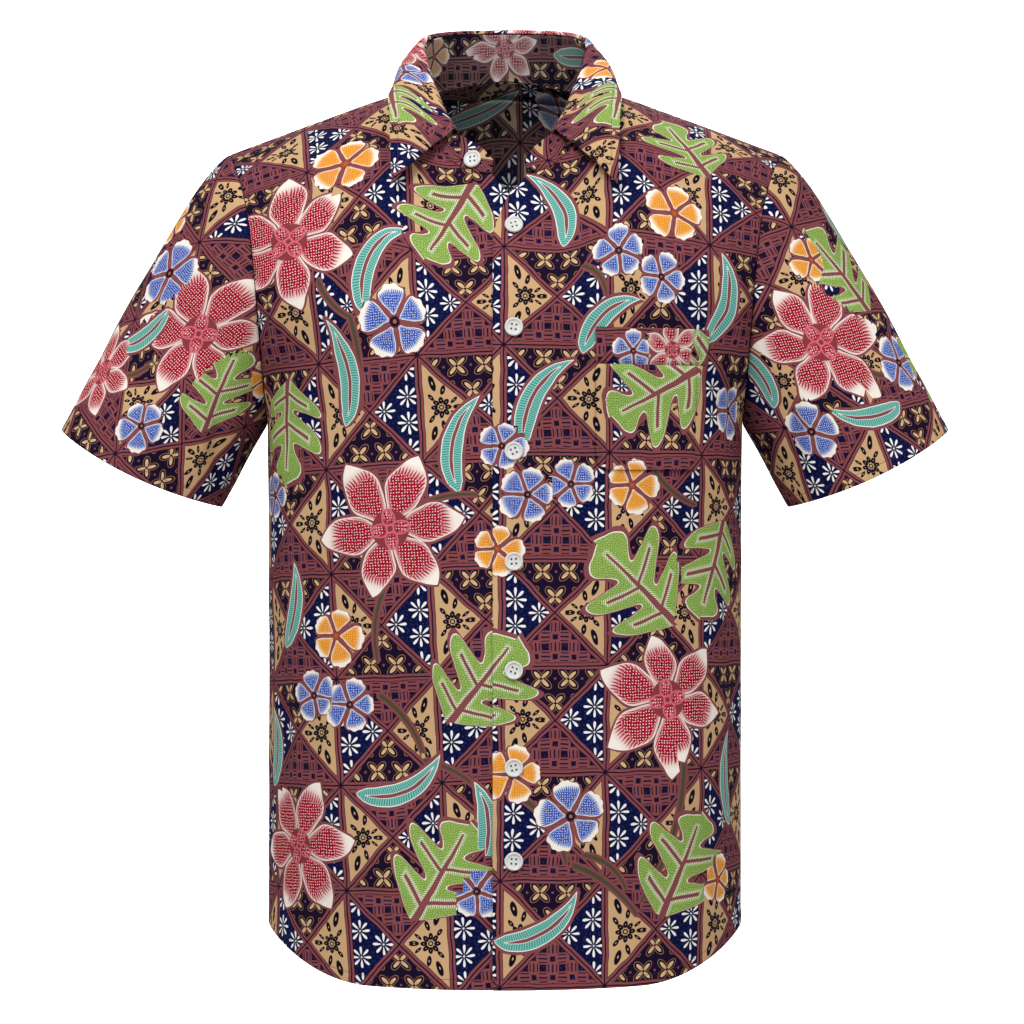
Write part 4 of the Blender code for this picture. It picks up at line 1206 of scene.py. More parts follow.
def cloth_material(kind):
    """Printed cotton. kind is the motif on these faces, plus 10 where a stem crosses."""
    name = f"batik_{kind:02d}"
    m = bpy.data.materials.get(name)
    if m:
        return m
    m = bpy.data.materials.new(name)
    m.use_nodes = True
    tree = Ink.tree = m.node_tree
    shader = tree.nodes["Principled BSDF"]
    n = tree.nodes.new("ShaderNodeUVMap")
    n.uv_map = "cloth"
    flat_place = Ink(n.outputs[0])
    # the hand's waver
    waver = plus(noise(flat_place, 38.0, 2.0, colour=True), (-0.5, -0.5, -0.5))
    place = plus(flat_place, scaled(waver, 0.0030))
    u, v, _ = parts(place)
    colour = tambal(u, v, place)
    if kind >= 10:
        t, across, half = parts(attribute("stem"))
        colour = stem(colour, t, across, half)
    if kind % 10:
        x, y, size = parts(plus(attribute("motif"), scaled(waver, 0.0022)))
        tint, seed, _ = parts(attribute("dye"))
        size = parts(attribute("motif"))[2]
        draw = {1: lambda: red_flower(colour, x, y, size, seed, place),
                2: lambda: small_flower(colour, x, y, size, tint, seed, place),
                3: lambda: green_leaf(colour, x, y, size, seed, place),
                4: lambda: teal_leaf(colour, x, y, size, seed, place)}[kind % 10]
        colour = draw()
    # uneven dye; the back of the cloth a little duller, and darker as painted shade inside the shirt
    blot = noise(flat_place, 9.0, 3.0)
    inside = attribute("inside", "Fac")
    hsv = tree.nodes.new("ShaderNodeHueSaturation")
    put(hsv.inputs["Color"], colour)
    put(hsv.inputs["Saturation"], 1.0 - inside * 0.28)
    # painted shade: inner faces 42 % darker and rims 21 % darker, for the shade inside the shirt
    put(hsv.inputs["Value"], ramp(blot, 0.3, 0.7, 0.93, 1.06) * (1.0 - inside * 0.42))
    colour = Ink(hsv.outputs[0])
    # stitches: a row of dashes in from a sewn edge
    e, run, style = parts(attribute("sewn"))
    line = mixed_number(above(style, 1.5), 0.0068, 0.0082)
    across = mag(e - line)
    dash = fract(run / 0.0026)
    thread = under(across, 0.00028, 0.00008) * below(dash, 0.74) * above(style, 0.5)
    colour = mixed(thread * 0.8, colour, "thread")
    put(shader.inputs["Base Color"], colour)
    # plain weave and the stitches' pull
    wu, wv, _ = parts(flat_place)
    weave = wave(wu * 9000.0) * wave(wv * 9000.0)
    pull = under(across, 0.0012, 0.0009) * above(style, 0.5)
    puckers = noise(flat_place, 95.0, 2.0)
    height = weave * 0.00003 - pull * (0.00016 + puckers * 0.00016) + thread * 0.00022 + puckers * 0.00022
    bump = tree.nodes.new("ShaderNodeBump")
    bump.inputs["Strength"].default_value = 0.8
    bump.inputs["Distance"].default_value = 1.0
    put(bump.inputs["Height"], height)
    put(shader.inputs["Normal"], Ink(bump.outputs[0]))
    shader.inputs["Roughness"].default_value = 0.82
    shader.inputs["Specular IOR Level"].default_value = 0.10
    shader.inputs["Sheen Weight"].default_value = 0.0
    shader.inputs["Sheen Roughness"].default_value = 0.5
    m.diffuse_color = dye("mauve")
    return m


def mixed_number(mask, a, b):
    return mask * (b - a) + a


# ---------------------------------------------------------------- the motifs' places
def seen(which, rows):
    """Rows placed as seen from the front, x and z, taken to the flat cloth."""
    out = []
    for row in rows:
        u, v = front_place(row[1], row[2])
        out.append((row[0], float(u), float(v)) + tuple(row[3:]))
    return out


def seen_stems(rows):
    out = []
    for x0, z0, x1, z1, bow, half in rows:
        (u0, v0), (u1, v1) = front_place(x0, z0), front_place(x1, z1)
        out.append((float(u0), float(v0), float(u1), float(v1), bow, half))
    return out


# (kind, x, z, turn, size, tint of a small flower or bend of a teal leaf)
LEFT_FRONT = seen("left", (
    ("red", 0.129, -0.492, 100, 0.047),
    ("small", 0.090, -0.138, 20, 0.021, 0), ("small", 0.124, -0.158, 70, 0.019, 0),
    ("small", 0.135, -0.106, 10, 0.025, 1), ("green", 0.165, -0.075, 120, 0.070),
    ("teal", 0.044, -0.100, 115, 0.070, 9), ("teal", 0.077, -0.190, 40, 0.060, -10),
    ("teal", 0.178, -0.175, 80, 0.072, 8), ("teal", 0.022, -0.252, 60, 0.078, -8),
    ("small", 0.018, -0.330, 0, 0.023, 0), ("small", 0.052, -0.322, 40, 0.020, 0),
    ("small", 0.100, -0.322, 0, 0.023, 1), ("green", 0.136, -0.432, 137, 0.086),
    ("green", 0.176, -0.352, 250, 0.072), ("small", 0.006, -0.548, 0, 0.025, 1),
    ("small", 0.052, -0.582, 30, 0.028, 0), ("green", 0.125, -0.662, 65, 0.078),
    ("teal", 0.032, -0.672, 30, 0.074, 9), ("small", 0.171, -0.640, 0, 0.021, 1),
    ("teal", 0.178, -0.560, 95, 0.074, -7), ("green", -0.044, -0.510, 52, 0.080),
    ("small", -0.006, -0.372, 0, 0.021, 1), ("small", -0.002, -0.292, 0, 0.020, 0),
    ("small", 0.182, -0.262, 0, 0.022, 0), ("green", 0.153, -0.231, 207, 0.076),
))
LEFT_STEMS = seen_stems((
    (0.141, -0.541, 0.108, -0.650, 0.010, 0.0014), (0.062, -0.612, 0.096, -0.640, 0.006, 0.0013),
    (0.012, -0.566, 0.048, -0.618, 0.007, 0.0016), (0.048, -0.618, 0.104, -0.660, 0.006, 0.0016),
    (0.118, -0.310, 0.152, -0.338, -0.004, 0.0013), (0.062, -0.150, 0.080, -0.172, 0.004, 0.0012),
))
RIGHT_FRONT = seen("right", (
    ("red", -0.172, -0.128, 35, 0.050), ("red", -0.090, -0.357, 10, 0.048), ("red", -0.166, -0.612, 70, 0.044),
    ("small", -0.086, -0.194, 100, 0.029, 0), ("small", -0.128, -0.064, 0, 0.030, 1),
    ("teal", -0.108, -0.142, 62, 0.076, -11), ("green", -0.027, -0.084, 243, 0.072),
    ("green", -0.176, -0.236, 265, 0.076), ("teal", -0.124, -0.232, 100, 0.080, 5),
    ("teal", -0.040, -0.288, 78, 0.074, -7), ("small", -0.002, -0.292, 0, 0.020, 0),
    ("small", -0.134, -0.442, 0, 0.024, 1), ("teal", -0.168, -0.420, 80, 0.066, 7),
    ("small", -0.152, -0.490, 30, 0.021, 0), ("small", -0.122, -0.496, 0, 0.023, 0),
    ("green", -0.044, -0.510, 52, 0.080), ("teal", -0.078, -0.562, 25, 0.074, 8),
    ("green", -0.070, -0.662, 60, 0.080), ("small", -0.006, -0.372, 0, 0.021, 1),
    ("small", -0.022, -0.640, 20, 0.023, 0), ("teal", -0.012, -0.586, 95, 0.062, 8),
    ("teal", -0.186, -0.535, 90, 0.060, 6), ("small", -0.188, -0.330, 0, 0.021, 0),
))
RIGHT_STEMS = seen_stems((
    (-0.148, -0.160, -0.122, -0.190, -0.004, 0.0013), (-0.122, -0.190, -0.098, -0.193, 0.002, 0.0015),
    (-0.098, -0.488, -0.062, -0.538, 0.006, 0.0014), (-0.062, -0.538, -0.010, -0.572, 0.006, 0.0012),
    (-0.094, -0.402, -0.100, -0.460, -0.005, 0.0013), (-0.122, -0.190, -0.114, -0.262, 0.004, 0.0013),
    (-0.066, -0.338, -0.022, -0.330, 0.003, 0.0011),
))
# flat places from here on
BACK = (
    ("red", -0.145, -0.320, 20, 0.049), ("red", 0.075, -0.235, 80, 0.048), ("red", 0.170, -0.470, 40, 0.047),
    ("red", -0.060, -0.560, 60, 0.048), ("red", -0.235, -0.600, 0, 0.045), ("red", 0.085, -0.690, 15, 0.046),
    ("small", -0.050, -0.270, 0, 0.027, 0), ("small", -0.010, -0.300, 30, 0.022, 0),
    ("small", 0.165, -0.330, 0, 0.024, 1), ("small", 0.020, -0.440, 50, 0.027, 0),
    ("small", -0.170, -0.480, 0, 0.025, 1), ("small", 0.235, -0.590, 10, 0.025, 0),
    ("small", 0.040, -0.590, 0, 0.024, 1), ("small", -0.130, -0.690, 40, 0.027, 0), ("small", -0.195, -0.215, 0, 0.023, 0),
    ("green", -0.095, -0.420, 65, 0.082), ("green", 0.120, -0.400, 250, 0.080), ("green", 0.200, -0.240, 100, 0.074),
    ("green", -0.225, -0.390, 95, 0.078), ("green", -0.030, -0.680, 80, 0.080), ("green", 0.180, -0.640, 60, 0.078),
    ("teal", -0.090, -0.200, 30, 0.076, 10), ("teal", 0.000, -0.370, 80, 0.078, -9), ("teal", 0.240, -0.380, 85, 0.072, 7),
    ("teal", 0.090, -0.540, 25, 0.076, 8), ("teal", -0.140, -0.570, 100, 0.072, -8), ("teal", 0.140, -0.150, 20, 0.066, 8),
    ("teal", -0.210, -0.700, 20, 0.066, 7), ("teal", 0.010, -0.510, 110, 0.064, 9), ("small", 0.250, -0.480, 0, 0.020, 1),
)
BACK_STEMS = (
    (-0.120, -0.365, -0.105, -0.425, 0.006, 0.0014), (0.090, -0.285, 0.120, -0.330, 0.005, 0.0014),
    (0.160, -0.520, 0.170, -0.600, -0.008, 0.0014), (-0.040, -0.612, -0.030, -0.670, 0.005, 0.0013),
    (-0.020, -0.320, -0.070, -0.400, 0.010, 0.0012), (0.030, -0.470, 0.080, -0.520, 0.006, 0.0012),
)
YOKE = (
    ("red", 0.150, -0.050, 30, 0.044), ("small", 0.050, -0.112, 0, 0.026, 0), ("teal", -0.020, -0.120, 15, 0.070, 8),
    ("green", -0.190, -0.085, 20, 0.076), ("small", -0.085, -0.105, 20, 0.026, 1), ("teal", 0.205, -0.100, 80, 0.060, 7),
    ("small", -0.210, -0.030, 0, 0.022, 0), ("small", 0.215, -0.010, 0, 0.022, 1), ("teal", -0.140, -0.030, 10, 0.066, -8),
)
SLEEVE_R = (
    ("red", 0.112, 0.128, 20, 0.049), ("red", 0.035, 0.060, 60, 0.034), ("small", 0.050, 0.158, 30, 0.030, 0),
    ("teal", 0.066, 0.108, 60, 0.058, 9), ("green", 0.165, 0.055, 100, 0.070), ("small", 0.110, 0.040, 0, 0.024, 0),
    ("green", -0.060, 0.115, 75, 0.078), ("red", -0.135, 0.085, 10, 0.046), ("small", -0.045, 0.050, 0, 0.025, 1),
    ("teal", -0.095, 0.155, 20, 0.070, 8), ("teal", 0.000, 0.130, 85, 0.066, -8), ("small", 0.190, 0.120, 0, 0.022, 1),
    ("teal", -0.190, 0.120, 80, 0.060, 7), ("small", -0.180, 0.040, 0, 0.024, 0), ("small", 0.010, 0.195, 0, 0.022, 1),
)
SLEEVE_L = (
    ("red", 0.108, 0.118, 75, 0.050), ("small", 0.040, 0.070, 0, 0.026, 0), ("green", 0.042, 0.120, 80, 0.074),
    ("small", 0.160, 0.055, 40, 0.026, 0), ("teal", 0.105, 0.045, 20, 0.070, 8), ("teal", 0.172, 0.120, 90, 0.068, -7),
    ("red", -0.115, 0.105, 30, 0.047), ("green", -0.050, 0.050, 15, 0.078), ("small", -0.040, 0.140, 0, 0.026, 1),
    ("teal", -0.170, 0.060, 70, 0.070, 8), ("small", -0.185, 0.135, 10, 0.024, 0), ("teal", -0.060, 0.185, 10, 0.064, 8),
    ("teal", 0.012, 0.185, 70, 0.056, 9), ("small", 0.070, 0.180, 0, 0.022, 1),
)
SLEEVE_STEMS = ((0.085, 0.085, 0.060, 0.066, 0.003, 0.0013), (-0.130, 0.050, -0.090, 0.020, 0.004, 0.0013),
                (0.140, 0.090, 0.160, 0.075, 0.002, 0.0012))
LEAF = (
    ("small", -0.156, -0.024, 30, 0.020, 0), ("green", -0.178, -0.040, 190, 0.062), ("red", -0.112, -0.014, 20, 0.026),
    ("teal", -0.030, -0.022, 5, 0.060, 6), ("red", 0.040, -0.020, 30, 0.036), ("small", 0.092, -0.018, 0, 0.022, 0),
    ("small", 0.148, -0.026, 10, 0.022, 1), ("green", 0.174, -0.040, -10, 0.066),
)
STAND = (("red", 0.0, -0.012, 10, 0.026), ("teal", 0.075, -0.016, 8, 0.056, 5), ("small", -0.070, -0.016, 0, 0.018, 1))
POCKET_BAND = (
    ("small", 0.030, 0.010, 20, 0.017, 0), ("red", 0.064, 0.012, 40, 0.021), ("green", 0.088, -0.012, 70, 0.048),
)

# ---------------------------------------------------------------- creases, seen on the flat cloth
# (u0, v0, u1, v1, bow, height mm, half width mm): troughs are negative
FRONT_CREASES_L = (
    (0.230, -0.330, 0.120, -0.270, 0.010, -2.6, 12), (0.240, -0.300, 0.150, -0.215, 0.008, 2.2, 11),
    (0.235, -0.395, 0.150, -0.360, -0.006, -1.8, 13), (0.060, -0.150, 0.150, -0.080, 0.012, -1.6, 13),
    (0.200, -0.480, 0.215, -0.730, 0.010, -2.4, 16), (0.150, -0.560, 0.165, -0.750, -0.006, 1.8, 17),
    (0.075, -0.600, 0.070, -0.765, 0.004, -1.4, 18), (0.010, -0.255, 0.085, -0.215, 0.004, -0.9, 9),
    (0.012, -0.480, 0.070, -0.450, 0.003, -0.8, 10), (0.180, -0.180, 0.195, -0.270, 0.008, 1.7, 11),
)
FRONT_CREASES_R = tuple((-a, b, -c, d, -e, f * k, g) for (a, b, c, d, e, f, g), k in zip((
    (0.232, -0.315, 0.135, -0.262, 0.008, -2.8, 12), (0.238, -0.350, 0.160, -0.320, 0.006, 1.9, 11),
    (0.225, -0.410, 0.130, -0.400, -0.008, -1.6, 14), (0.070, -0.135, 0.160, -0.090, 0.010, -1.8, 12),
    (0.205, -0.520, 0.200, -0.740, -0.008, -2.2, 15), (0.125, -0.540, 0.140, -0.760, 0.008, 1.6, 18),
    (0.060, -0.640, 0.050, -0.770, 0.002, -1.2, 16), (0.182, -0.170, 0.200, -0.280, -0.006, 1.9, 11),
    (0.015, -0.355, 0.075, -0.330, 0.003, -0.8, 10),
), (1, 1, 1, 1, 1, 1, 1, 1, 1)))
BACK_CREASES = (
    (-0.245, -0.335, -0.120, -0.290, 0.012, -2.6, 13), (-0.240, -0.390, -0.110, -0.370, -0.010, 2.0, 14),
    (0.245, -0.325, 0.130, -0.270, 0.010, -2.8, 12), (0.238, -0.400, 0.120, -0.385, 0.008, 1.8, 14),
    (-0.150, -0.200, -0.160, -0.420, 0.010, -1.8, 16), (0.140, -0.190, 0.155, -0.390, -0.008, -1.6, 16),
    (-0.190, -0.520, -0.200, -0.760, 0.008, -2.4, 17), (0.180, -0.540, 0.195, -0.765, -0.010, -2.2, 16),
    (-0.070, -0.470, -0.085, -0.770, 0.008, 1.6, 20), (0.060, -0.560, 0.070, -0.775, 0.006, -1.8, 18),
    (0.000, -0.420, 0.010, -0.640, 0.006, -1.3, 20), (0.115, -0.450, 0.120, -0.700, 0.006, 1.5, 19),
)
SLEEVE_CREASES = (
    (0.215, 0.015, 0.130, 0.150, 0.010, -2.8, 10), (0.185, 0.020, 0.150, 0.110, 0.006, 2.0, 9),
    (-0.215, 0.020, -0.140, 0.150, -0.008, -2.6, 11), (-0.180, 0.020, -0.150, 0.110, 0.004, 1.8, 10),
    (0.060, 0.010, 0.085, 0.130, 0.006, -1.3, 14), (-0.070, 0.010, -0.060, 0.130, 0.008, -1.4, 15),
    (0.010, 0.030, 0.000, 0.150, 0.005, 0.9, 16),
)
YOKE_CREASES = ((0.100, -0.090, 0.190, -0.050, 0.006, -1.0, 13), (-0.110, -0.095, -0.190, -0.040, -0.006, -1.1, 13))

# ---------------------------------------------------------------- the panels
pieces = {}


def declare(piece, node, points):
    """Rides on the frame and stands for its CAD node."""
    d1, d2 = np.diff(points, axis=0)[:, :-1], np.diff(points, axis=1)[:-1]
    area = float(np.linalg.norm(np.cross(d1, d2), axis=-1).sum())
    wide, high = float(lengths(points, 1)[:, -1].max()), float(lengths(points, 0)[-1].max())
    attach(piece, "root")
    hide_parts(node)
    wide, high = round(wide, 3), round(high, 3)
    area = min(area, 0.999 * wide * high)
    pieces[node] = piece


left, theta, v = front_panel("left")
uv = flat(theta, v, -1)
piece = shell("shirt_front_left", left, uv, edges={"top": "seam", "right": "seam", "bottom": "hem", "left": "fold"},
              table=FRONT_CREASES_L, ripple=0.00055, motifs=LEFT_FRONT, stems=LEFT_STEMS, grain=((-0.0023, -0.5337), -0.4))
declare(piece, "front_left", left)

right, theta, v = front_panel("right")
uv = flat(theta, v, -1) * np.array([-1, 1])
piece = shell("shirt_front_right", right, uv, flip=True, edges={"top": "seam", "right": "seam", "bottom": "hem"},
              table=FRONT_CREASES_R, ripple=0.00055, motifs=RIGHT_FRONT, stems=RIGHT_STEMS,
              grain=((-0.0690, -0.2912), 3.4))
declare(piece, "front_right", right)

back, theta, v = back_panel()
piece = shell("shirt_back", back, flat(theta, v, 1), flip=True,
              edges={"top": "seam", "right": "seam", "left": "seam", "bottom": "hem"},
              table=BACK_CREASES, ripple=0.00065, motifs=BACK, stems=BACK_STEMS, grain=((0.012, -0.030), 1.2))
declare(piece, "back", back)

yoke, theta, v = yoke_panel()
uv = np.stack([np.where(v < 0, flat(theta, v, -1)[..., 0], flat(theta, v, 1)[..., 0]), -v], -1)
piece = shell("shirt_yoke", yoke, uv, flip=True, edges={"top": "seam", "right": "seam", "left": "seam", "bottom": "felled"},
              table=YOKE_CREASES, ripple=0.0003, motifs=YOKE, grain=((0.010, 0.020), 1.0))
declare(piece, "back_yoke", yoke)

for which, mirror, motifs, turn in (("left", False, SLEEVE_L, 12.0), ("right", True, SLEEVE_R, -14.0)):
    grid, a = sleeve_panel(mirror)
    ring = np.concatenate([grid, grid[:, :1]], 1)
    middle = int(len(grid) * 0.55)
    along = lengths(ring, 1)[middle]
    zero = np.interp(0.0, np.append(a, math.pi), along)
    up = lengths(ring, 0)
    up = up[-1:] - up
    uv = np.stack([np.broadcast_to(along - zero, up.shape), up], -1)
    piece = shell(f"shirt_sleeve_{which}", grid, uv, flip=not mirror, ring=True, edges={"top": "seam", "bottom": "hem"},
                  table=SLEEVE_CREASES, ripple=0.0006, motifs=motifs, stems=SLEEVE_STEMS, grain=((0.02, 0.03), turn))
    declare(piece, f"sleeve_{which}", ring)

stand = stand_grid()
across = lengths(stand, 1)
uv = np.stack([across - across[:, across.shape[1] // 2][:, None], -lengths(stand, 0)], -1)
piece = shell("shirt_collar_stand", stand, uv, flip=True, edges={"bottom": "seam", "left": "fold", "right": "fold"},
              ripple=0.00015, motifs=STAND, thick=0.0012, grain=((0.0, -0.02), 0.0))
declare(piece, "collar_stand", stand)

leaf = leaf_grid()
# the free edge stands a little off the body, most at the points
way = lengths(leaf, 0) / lengths(leaf, 0)[-1:]
to_point = np.abs(np.linspace(-1, 1, leaf.shape[1]))[None, :]
off = outward(leaf, False, True) * np.array([1.0, 1.0, 0.0])
off = off / np.maximum(np.linalg.norm(off, axis=-1, keepdims=True), 0.2)
leaf = leaf + off * (LEAF_LIFT * smooth((way - 0.15) / 0.75) * (0.12 + 0.88 * to_point ** 3))[..., None]
across = lengths(leaf, 1)
uv = np.stack([across - across[:, across.shape[1] // 2][:, None], -lengths(leaf, 0)], -1)
piece = shell("shirt_collar_leaf", leaf, uv, flip=True, edges={"bottom": "edge", "left": "edge", "right": "edge"},
              ripple=0.0003, motifs=LEAF, thick=0.0012, grain=((0.015, -0.055), 28.0))
declare(piece, "collar_leaf", leaf)

POCKET_BAND_H = 0.0250
pocket, theta, v = pocket_panel()
pocket = pocket + outward(pocket, False, False) * (POCKET_LIFT + POCKET_WALL - 0.0003)
uv = flat(theta, v, -1)
split = int(np.searchsorted(lengths(pocket, 0)[:, 0], POCKET_BAND_H))
piece = shell("shirt_pocket", pocket[split:], uv[split:], edges={"top": "seam", "left": "edge", "right": "edge", "bottom": "edge"},
              table=FRONT_CREASES_L, ripple=0.00055, form=uv[split:], motifs=LEFT_FRONT, stems=LEFT_STEMS, thick=0.0007, grain=((-0.0023, -0.5337), -0.4))
declare(piece, "pocket", pocket[split:])
band_uv = uv[:split + 1] - np.array([uv[0, 0, 0], uv[split, 0, 1]])
piece = shell("shirt_pocket_band", pocket[:split + 1], band_uv, edges={"left": "edge", "right": "edge", "bottom": "seam"},
              table=FRONT_CREASES_L, ripple=0.00055, form=uv[:split + 1], motifs=POCKET_BAND, thick=0.0009, grain=((0.030, 0.0265), 0.6))
declare(piece, "pocket", pocket[:split + 1])


# ---------------------------------------------------------------- buttons
def plastic():
    m = bpy.data.materials.new("button_plastic")
    m.use_nodes = True
    Ink.tree = m.node_tree
    shader = m.node_tree.nodes["Principled BSDF"]
    n = m.node_tree.nodes.new("ShaderNodeTexCoord")
    swirl = noise(Ink(n.outputs["Object"]), 160.0, 3.0)
    put(shader.inputs["Base Color"], mixed(ramp(swirl, 0.35, 0.7), "bone_light", "bone"))
    put(shader.inputs["Roughness"], ramp(swirl, 0.3, 0.7, 0.22, 0.30))
    shader.inputs["Subsurface Weight"].default_value = 0.08
    shader.inputs["Subsurface Radius"].default_value = (0.001, 0.001, 0.001)
    return m


def thread_and_hole_shade():
    m = bpy.data.materials.new("sewing_thread_hole_shade")
    m.use_nodes = True
    Ink.tree = m.node_tree
    shader = m.node_tree.nodes["Principled BSDF"]
    n = m.node_tree.nodes.new("ShaderNodeTexCoord")
    x, y, z = parts(Ink(n.outputs["Object"]))
    twist = wave((x + y + z) * 9000.0)
    # painted shade: the near-black thread also stands in for the shade deep in the button holes
    put(shader.inputs["Base Color"], mixed(ramp(twist, -1.0, 1.0), "ink", "olive"))
    shader.inputs["Roughness"].default_value = 0.7
    return m


def fine_button():
    """A turned button with a raised rim, a dished middle and four holes, and its thread, near-black partly as painted
    shade in the holes.
    """
    r, t = BUTTON_D / 2, BUTTON_T
    outline = [(0, 0.0002), (r - 0.0012, 0.0002), (r - 0.0004, 0.0006), (r, 0.0012), (r, t - 0.0010), (r - 0.00025, t - 0.0004),
               (r - 0.0008, t), (r - 0.0013, t), (r - 0.0018, t - 0.0003), (r - 0.0026, t - 0.00095),
               (r - 0.0036, t - 0.0011), (0, t - 0.0011)]
    bm = bmesh.new()
    count = 56
    rings = []
    for x, z in outline:
        if x == 0:
            rings.append([bm.verts.new((0, 0, z))])
        else:
            rings.append([bm.verts.new((x * math.cos(2 * math.pi * k / count), x * math.sin(2 * math.pi * k / count), z))
                          for k in range(count)])
    for a, b in zip(rings[:-1], rings[1:]):
        for k in range(count):
            m = (k + 1) % count
            if len(a) == 1:
                bm.faces.new((a[0], b[m], b[k]))
            elif len(b) == 1:
                bm.faces.new((a[k], a[m], b[0]))
            else:
                bm.faces.new((a[k], a[m], b[m], b[k]))
    bmesh.ops.recalc_face_normals(bm, faces=bm.faces)
    data = bpy.data.meshes.new("button_fine")
    bm.to_mesh(data)
    bm.free()
    cutter_data = bpy.data.meshes.new("button_cutter")
    bm = bmesh.new()
    q = BUTTON_HOLE_PITCH / math.sqrt(2)
    for k in range(4):
        a = math.pi / 4 + k * math.pi / 2
        bmesh.ops.create_cone(bm, cap_ends=True, segments=18, radius1=BUTTON_HOLE_D / 2, radius2=BUTTON_HOLE_D / 2,
                              depth=BUTTON_T * 3, matrix=Matrix.Translation((math.cos(a) * q, math.sin(a) * q, BUTTON_T / 2)))
    bm.to_mesh(cutter_data)
    bm.free()
    turned_one, cutter = bpy.data.objects.new("button_fine", data), bpy.data.objects.new("button_cutter", cutter_data)
    cut = turned_one.modifiers.new("holes", "BOOLEAN")
    cut.operation, cut.object, cut.solver = "DIFFERENCE", cutter, "EXACT"
    for o in (turned_one, cutter):
        bpy.context.scene.collection.objects.link(o)
    graph = bpy.context.evaluated_depsgraph_get()
    mesh = bpy.data.meshes.new_from_object(turned_one.evaluated_get(graph), depsgraph=graph)
    for o in (turned_one, cutter):
        bpy.data.objects.remove(o)
    # the sewing thread, deep in the four holes, near-black partly as painted shade of the holes
    bm = bmesh.new()
    bm.from_mesh(mesh)
    for k in range(4):
        a = math.pi / 4 + k * math.pi / 2
        knot = bmesh.ops.create_cone(bm, cap_ends=True, segments=14, radius1=BUTTON_HOLE_D / 2 - 0.00008,
                                     radius2=BUTTON_HOLE_D / 2 - 0.00025, depth=0.0008,
                                     matrix=Matrix.Translation((math.cos(a) * q, math.sin(a) * q, 0.0009)))
        for vertex in knot["verts"]:
            for f in vertex.link_faces:
                f.material_index = 1
    bmesh.ops.recalc_face_normals(bm, faces=bm.faces)
    bm.to_mesh(mesh)
    bm.free()
    return mesh


button_data = fine_button()
button_data.materials.append(plastic())
button_data.materials.append(thread_and_hole_shade())
for poly in button_data.polygons:
    poly.use_smooth = False


def sew_on(number, name, at, normal, across=(1, 0, 0)):
    n = Vector(normal).normalized()
    x = Vector(across)
    x = (x - n * x.dot(n)).normalized()
    turn = Matrix((x, n.cross(x), n)).transposed().to_4x4()
    spin = Matrix.Rotation(math.radians((17, -9, 24, 4, -21, 12, -4, 31)[number]), 4, "Z")
    data = button_data.copy()
    data.transform(Matrix.Translation(Vector(at) + n * (PLY_GAP + 0.0001)) @ turn @ spin)
    o = bpy.data.objects.new("shirt_" + name, data)
    bpy.context.scene.collection.objects.link(o)
    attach(o, "root")
    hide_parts(name)


for k, z in enumerate(BUTTON_Z):
    theta = math.asin(BUTTON_X / float(read(GIRTH, "z", "half_width", z)))
    v = at_level(np.array(theta), z, -1)
    sew_on(k, f"button_{k + 1}", body(theta, v, -1), body_normal(theta, v, -1))
coarse = stand_grid(17, 4, 4)
t_rows = steps(0.035, 4)
j = len(t_rows) // 2
p = coarse[j, 2]
n = np.cross(coarse[j, 3] - coarse[j, 1], coarse[j + 1, 2] - coarse[j - 1, 2])
sew_on(7, "button_stand", p, -n if n[1] > 0 else n, across=coarse[j, 3] - coarse[j, 1])


# ---------------------------------------------------------------- floor, light and camera
def plain(name, colour, rough):
    m = bpy.data.materials.new(name)
    m.use_nodes = True
    s = m.node_tree.nodes["Principled BSDF"]
    s.inputs["Base Color"].default_value = (*colour, 1)
    s.inputs["Roughness"].default_value = rough
    s.inputs["Specular IOR Level"].default_value = 0.1
    s.inputs["Emission Color"].default_value = (1, 1, 1, 1)
    s.inputs["Emission Strength"].default_value = 0.80
    return m


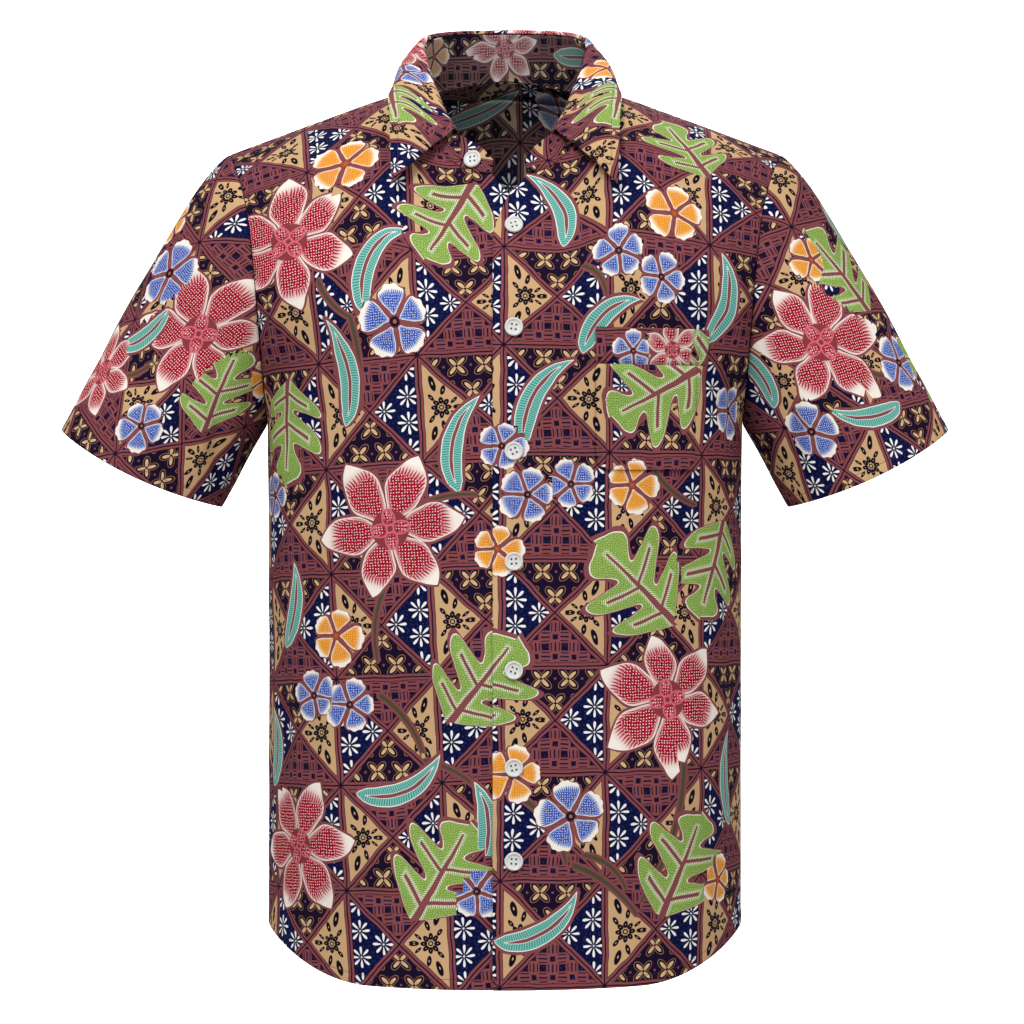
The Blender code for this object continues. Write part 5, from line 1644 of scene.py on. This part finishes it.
def studio():
    """A pale round floor that sweeps up into a wall on every side."""
    floor_z, wall_r, bend_r, sides = -1.35, 5.0, 1.2, 72
    profile = [(0.0, floor_z), (wall_r - bend_r, floor_z)]
    profile += [(wall_r - bend_r + bend_r * math.sin(a), floor_z + bend_r - bend_r * math.cos(a))
                for a in np.linspace(0, math.pi / 2, 16)[1:]]
    profile += [(wall_r, 4.0)]
    vertices, faces = [(0.0, 0.0, floor_z)], []
    for r, z in profile[1:]:
        vertices += [(r * math.cos(2 * math.pi * k / sides), r * math.sin(2 * math.pi * k / sides), z) for k in range(sides)]
    for k in range(sides):
        m = (k + 1) % sides
        faces.append((0, 1 + k, 1 + m))
        for ring in range(len(profile) - 2):
            a = 1 + ring * sides
            faces.append((a + k, a + sides + k, a + sides + m, a + m))
    data = bpy.data.meshes.new("studio_floor")
    data.from_pydata(vertices, [], faces)
    data.materials.append(plain("studio_white", (0.92, 0.92, 0.92), 0.9))
    for q in data.polygons:
        q.use_smooth = True
    o = bpy.data.objects.new("studio_floor", data)
    bpy.context.scene.collection.objects.link(o)
    o.visible_diffuse = o.visible_glossy = False


def lamp(name, at, aim, size, watts, colour=(1, 1, 1)):
    data = bpy.data.lights.new(name, "AREA")
    data.shape, data.size, data.energy, data.color = "SQUARE", size, watts, colour
    o = bpy.data.objects.new(name, data)
    o.location = at
    o.rotation_euler = (Vector(aim) - Vector(at)).to_track_quat("-Z", "Y").to_euler()
    bpy.context.scene.collection.objects.link(o)


studio()
bpy.context.scene.view_settings.view_transform = "Standard"
world = bpy.data.worlds.new("soft_light")
world.use_nodes = True
world.node_tree.nodes["Background"].inputs["Color"].default_value = (1, 1, 1, 1)
world.node_tree.nodes["Background"].inputs["Strength"].default_value = 0.42
bpy.context.scene.world = world
lamp("key", (-0.9, -2.6, 2.1), (0, 0, -0.3), 1.5, 88)
lamp("fill", (2.0, -2.5, 0.8), (0, 0, -0.35), 2.0, 24)
lamp("backdrop_light", (0, 1.6, 2.2), (0, 5.0, -0.6), 2.6, 230)
lamp("back_fill", (0.8, 3.2, 2.2), (0, 0, -0.3), 1.8, 34)

camera = bpy.data.cameras.new("camera")
camera.lens, camera.sensor_width = 105.9, 36.0
eye = bpy.data.objects.new("camera", camera)
eye.location = (0.0058, -2.5, -0.3436)
eye.rotation_euler = (math.pi / 2, 0, 0)
bpy.context.scene.collection.objects.link(eye)
bpy.context.scene.camera = eye

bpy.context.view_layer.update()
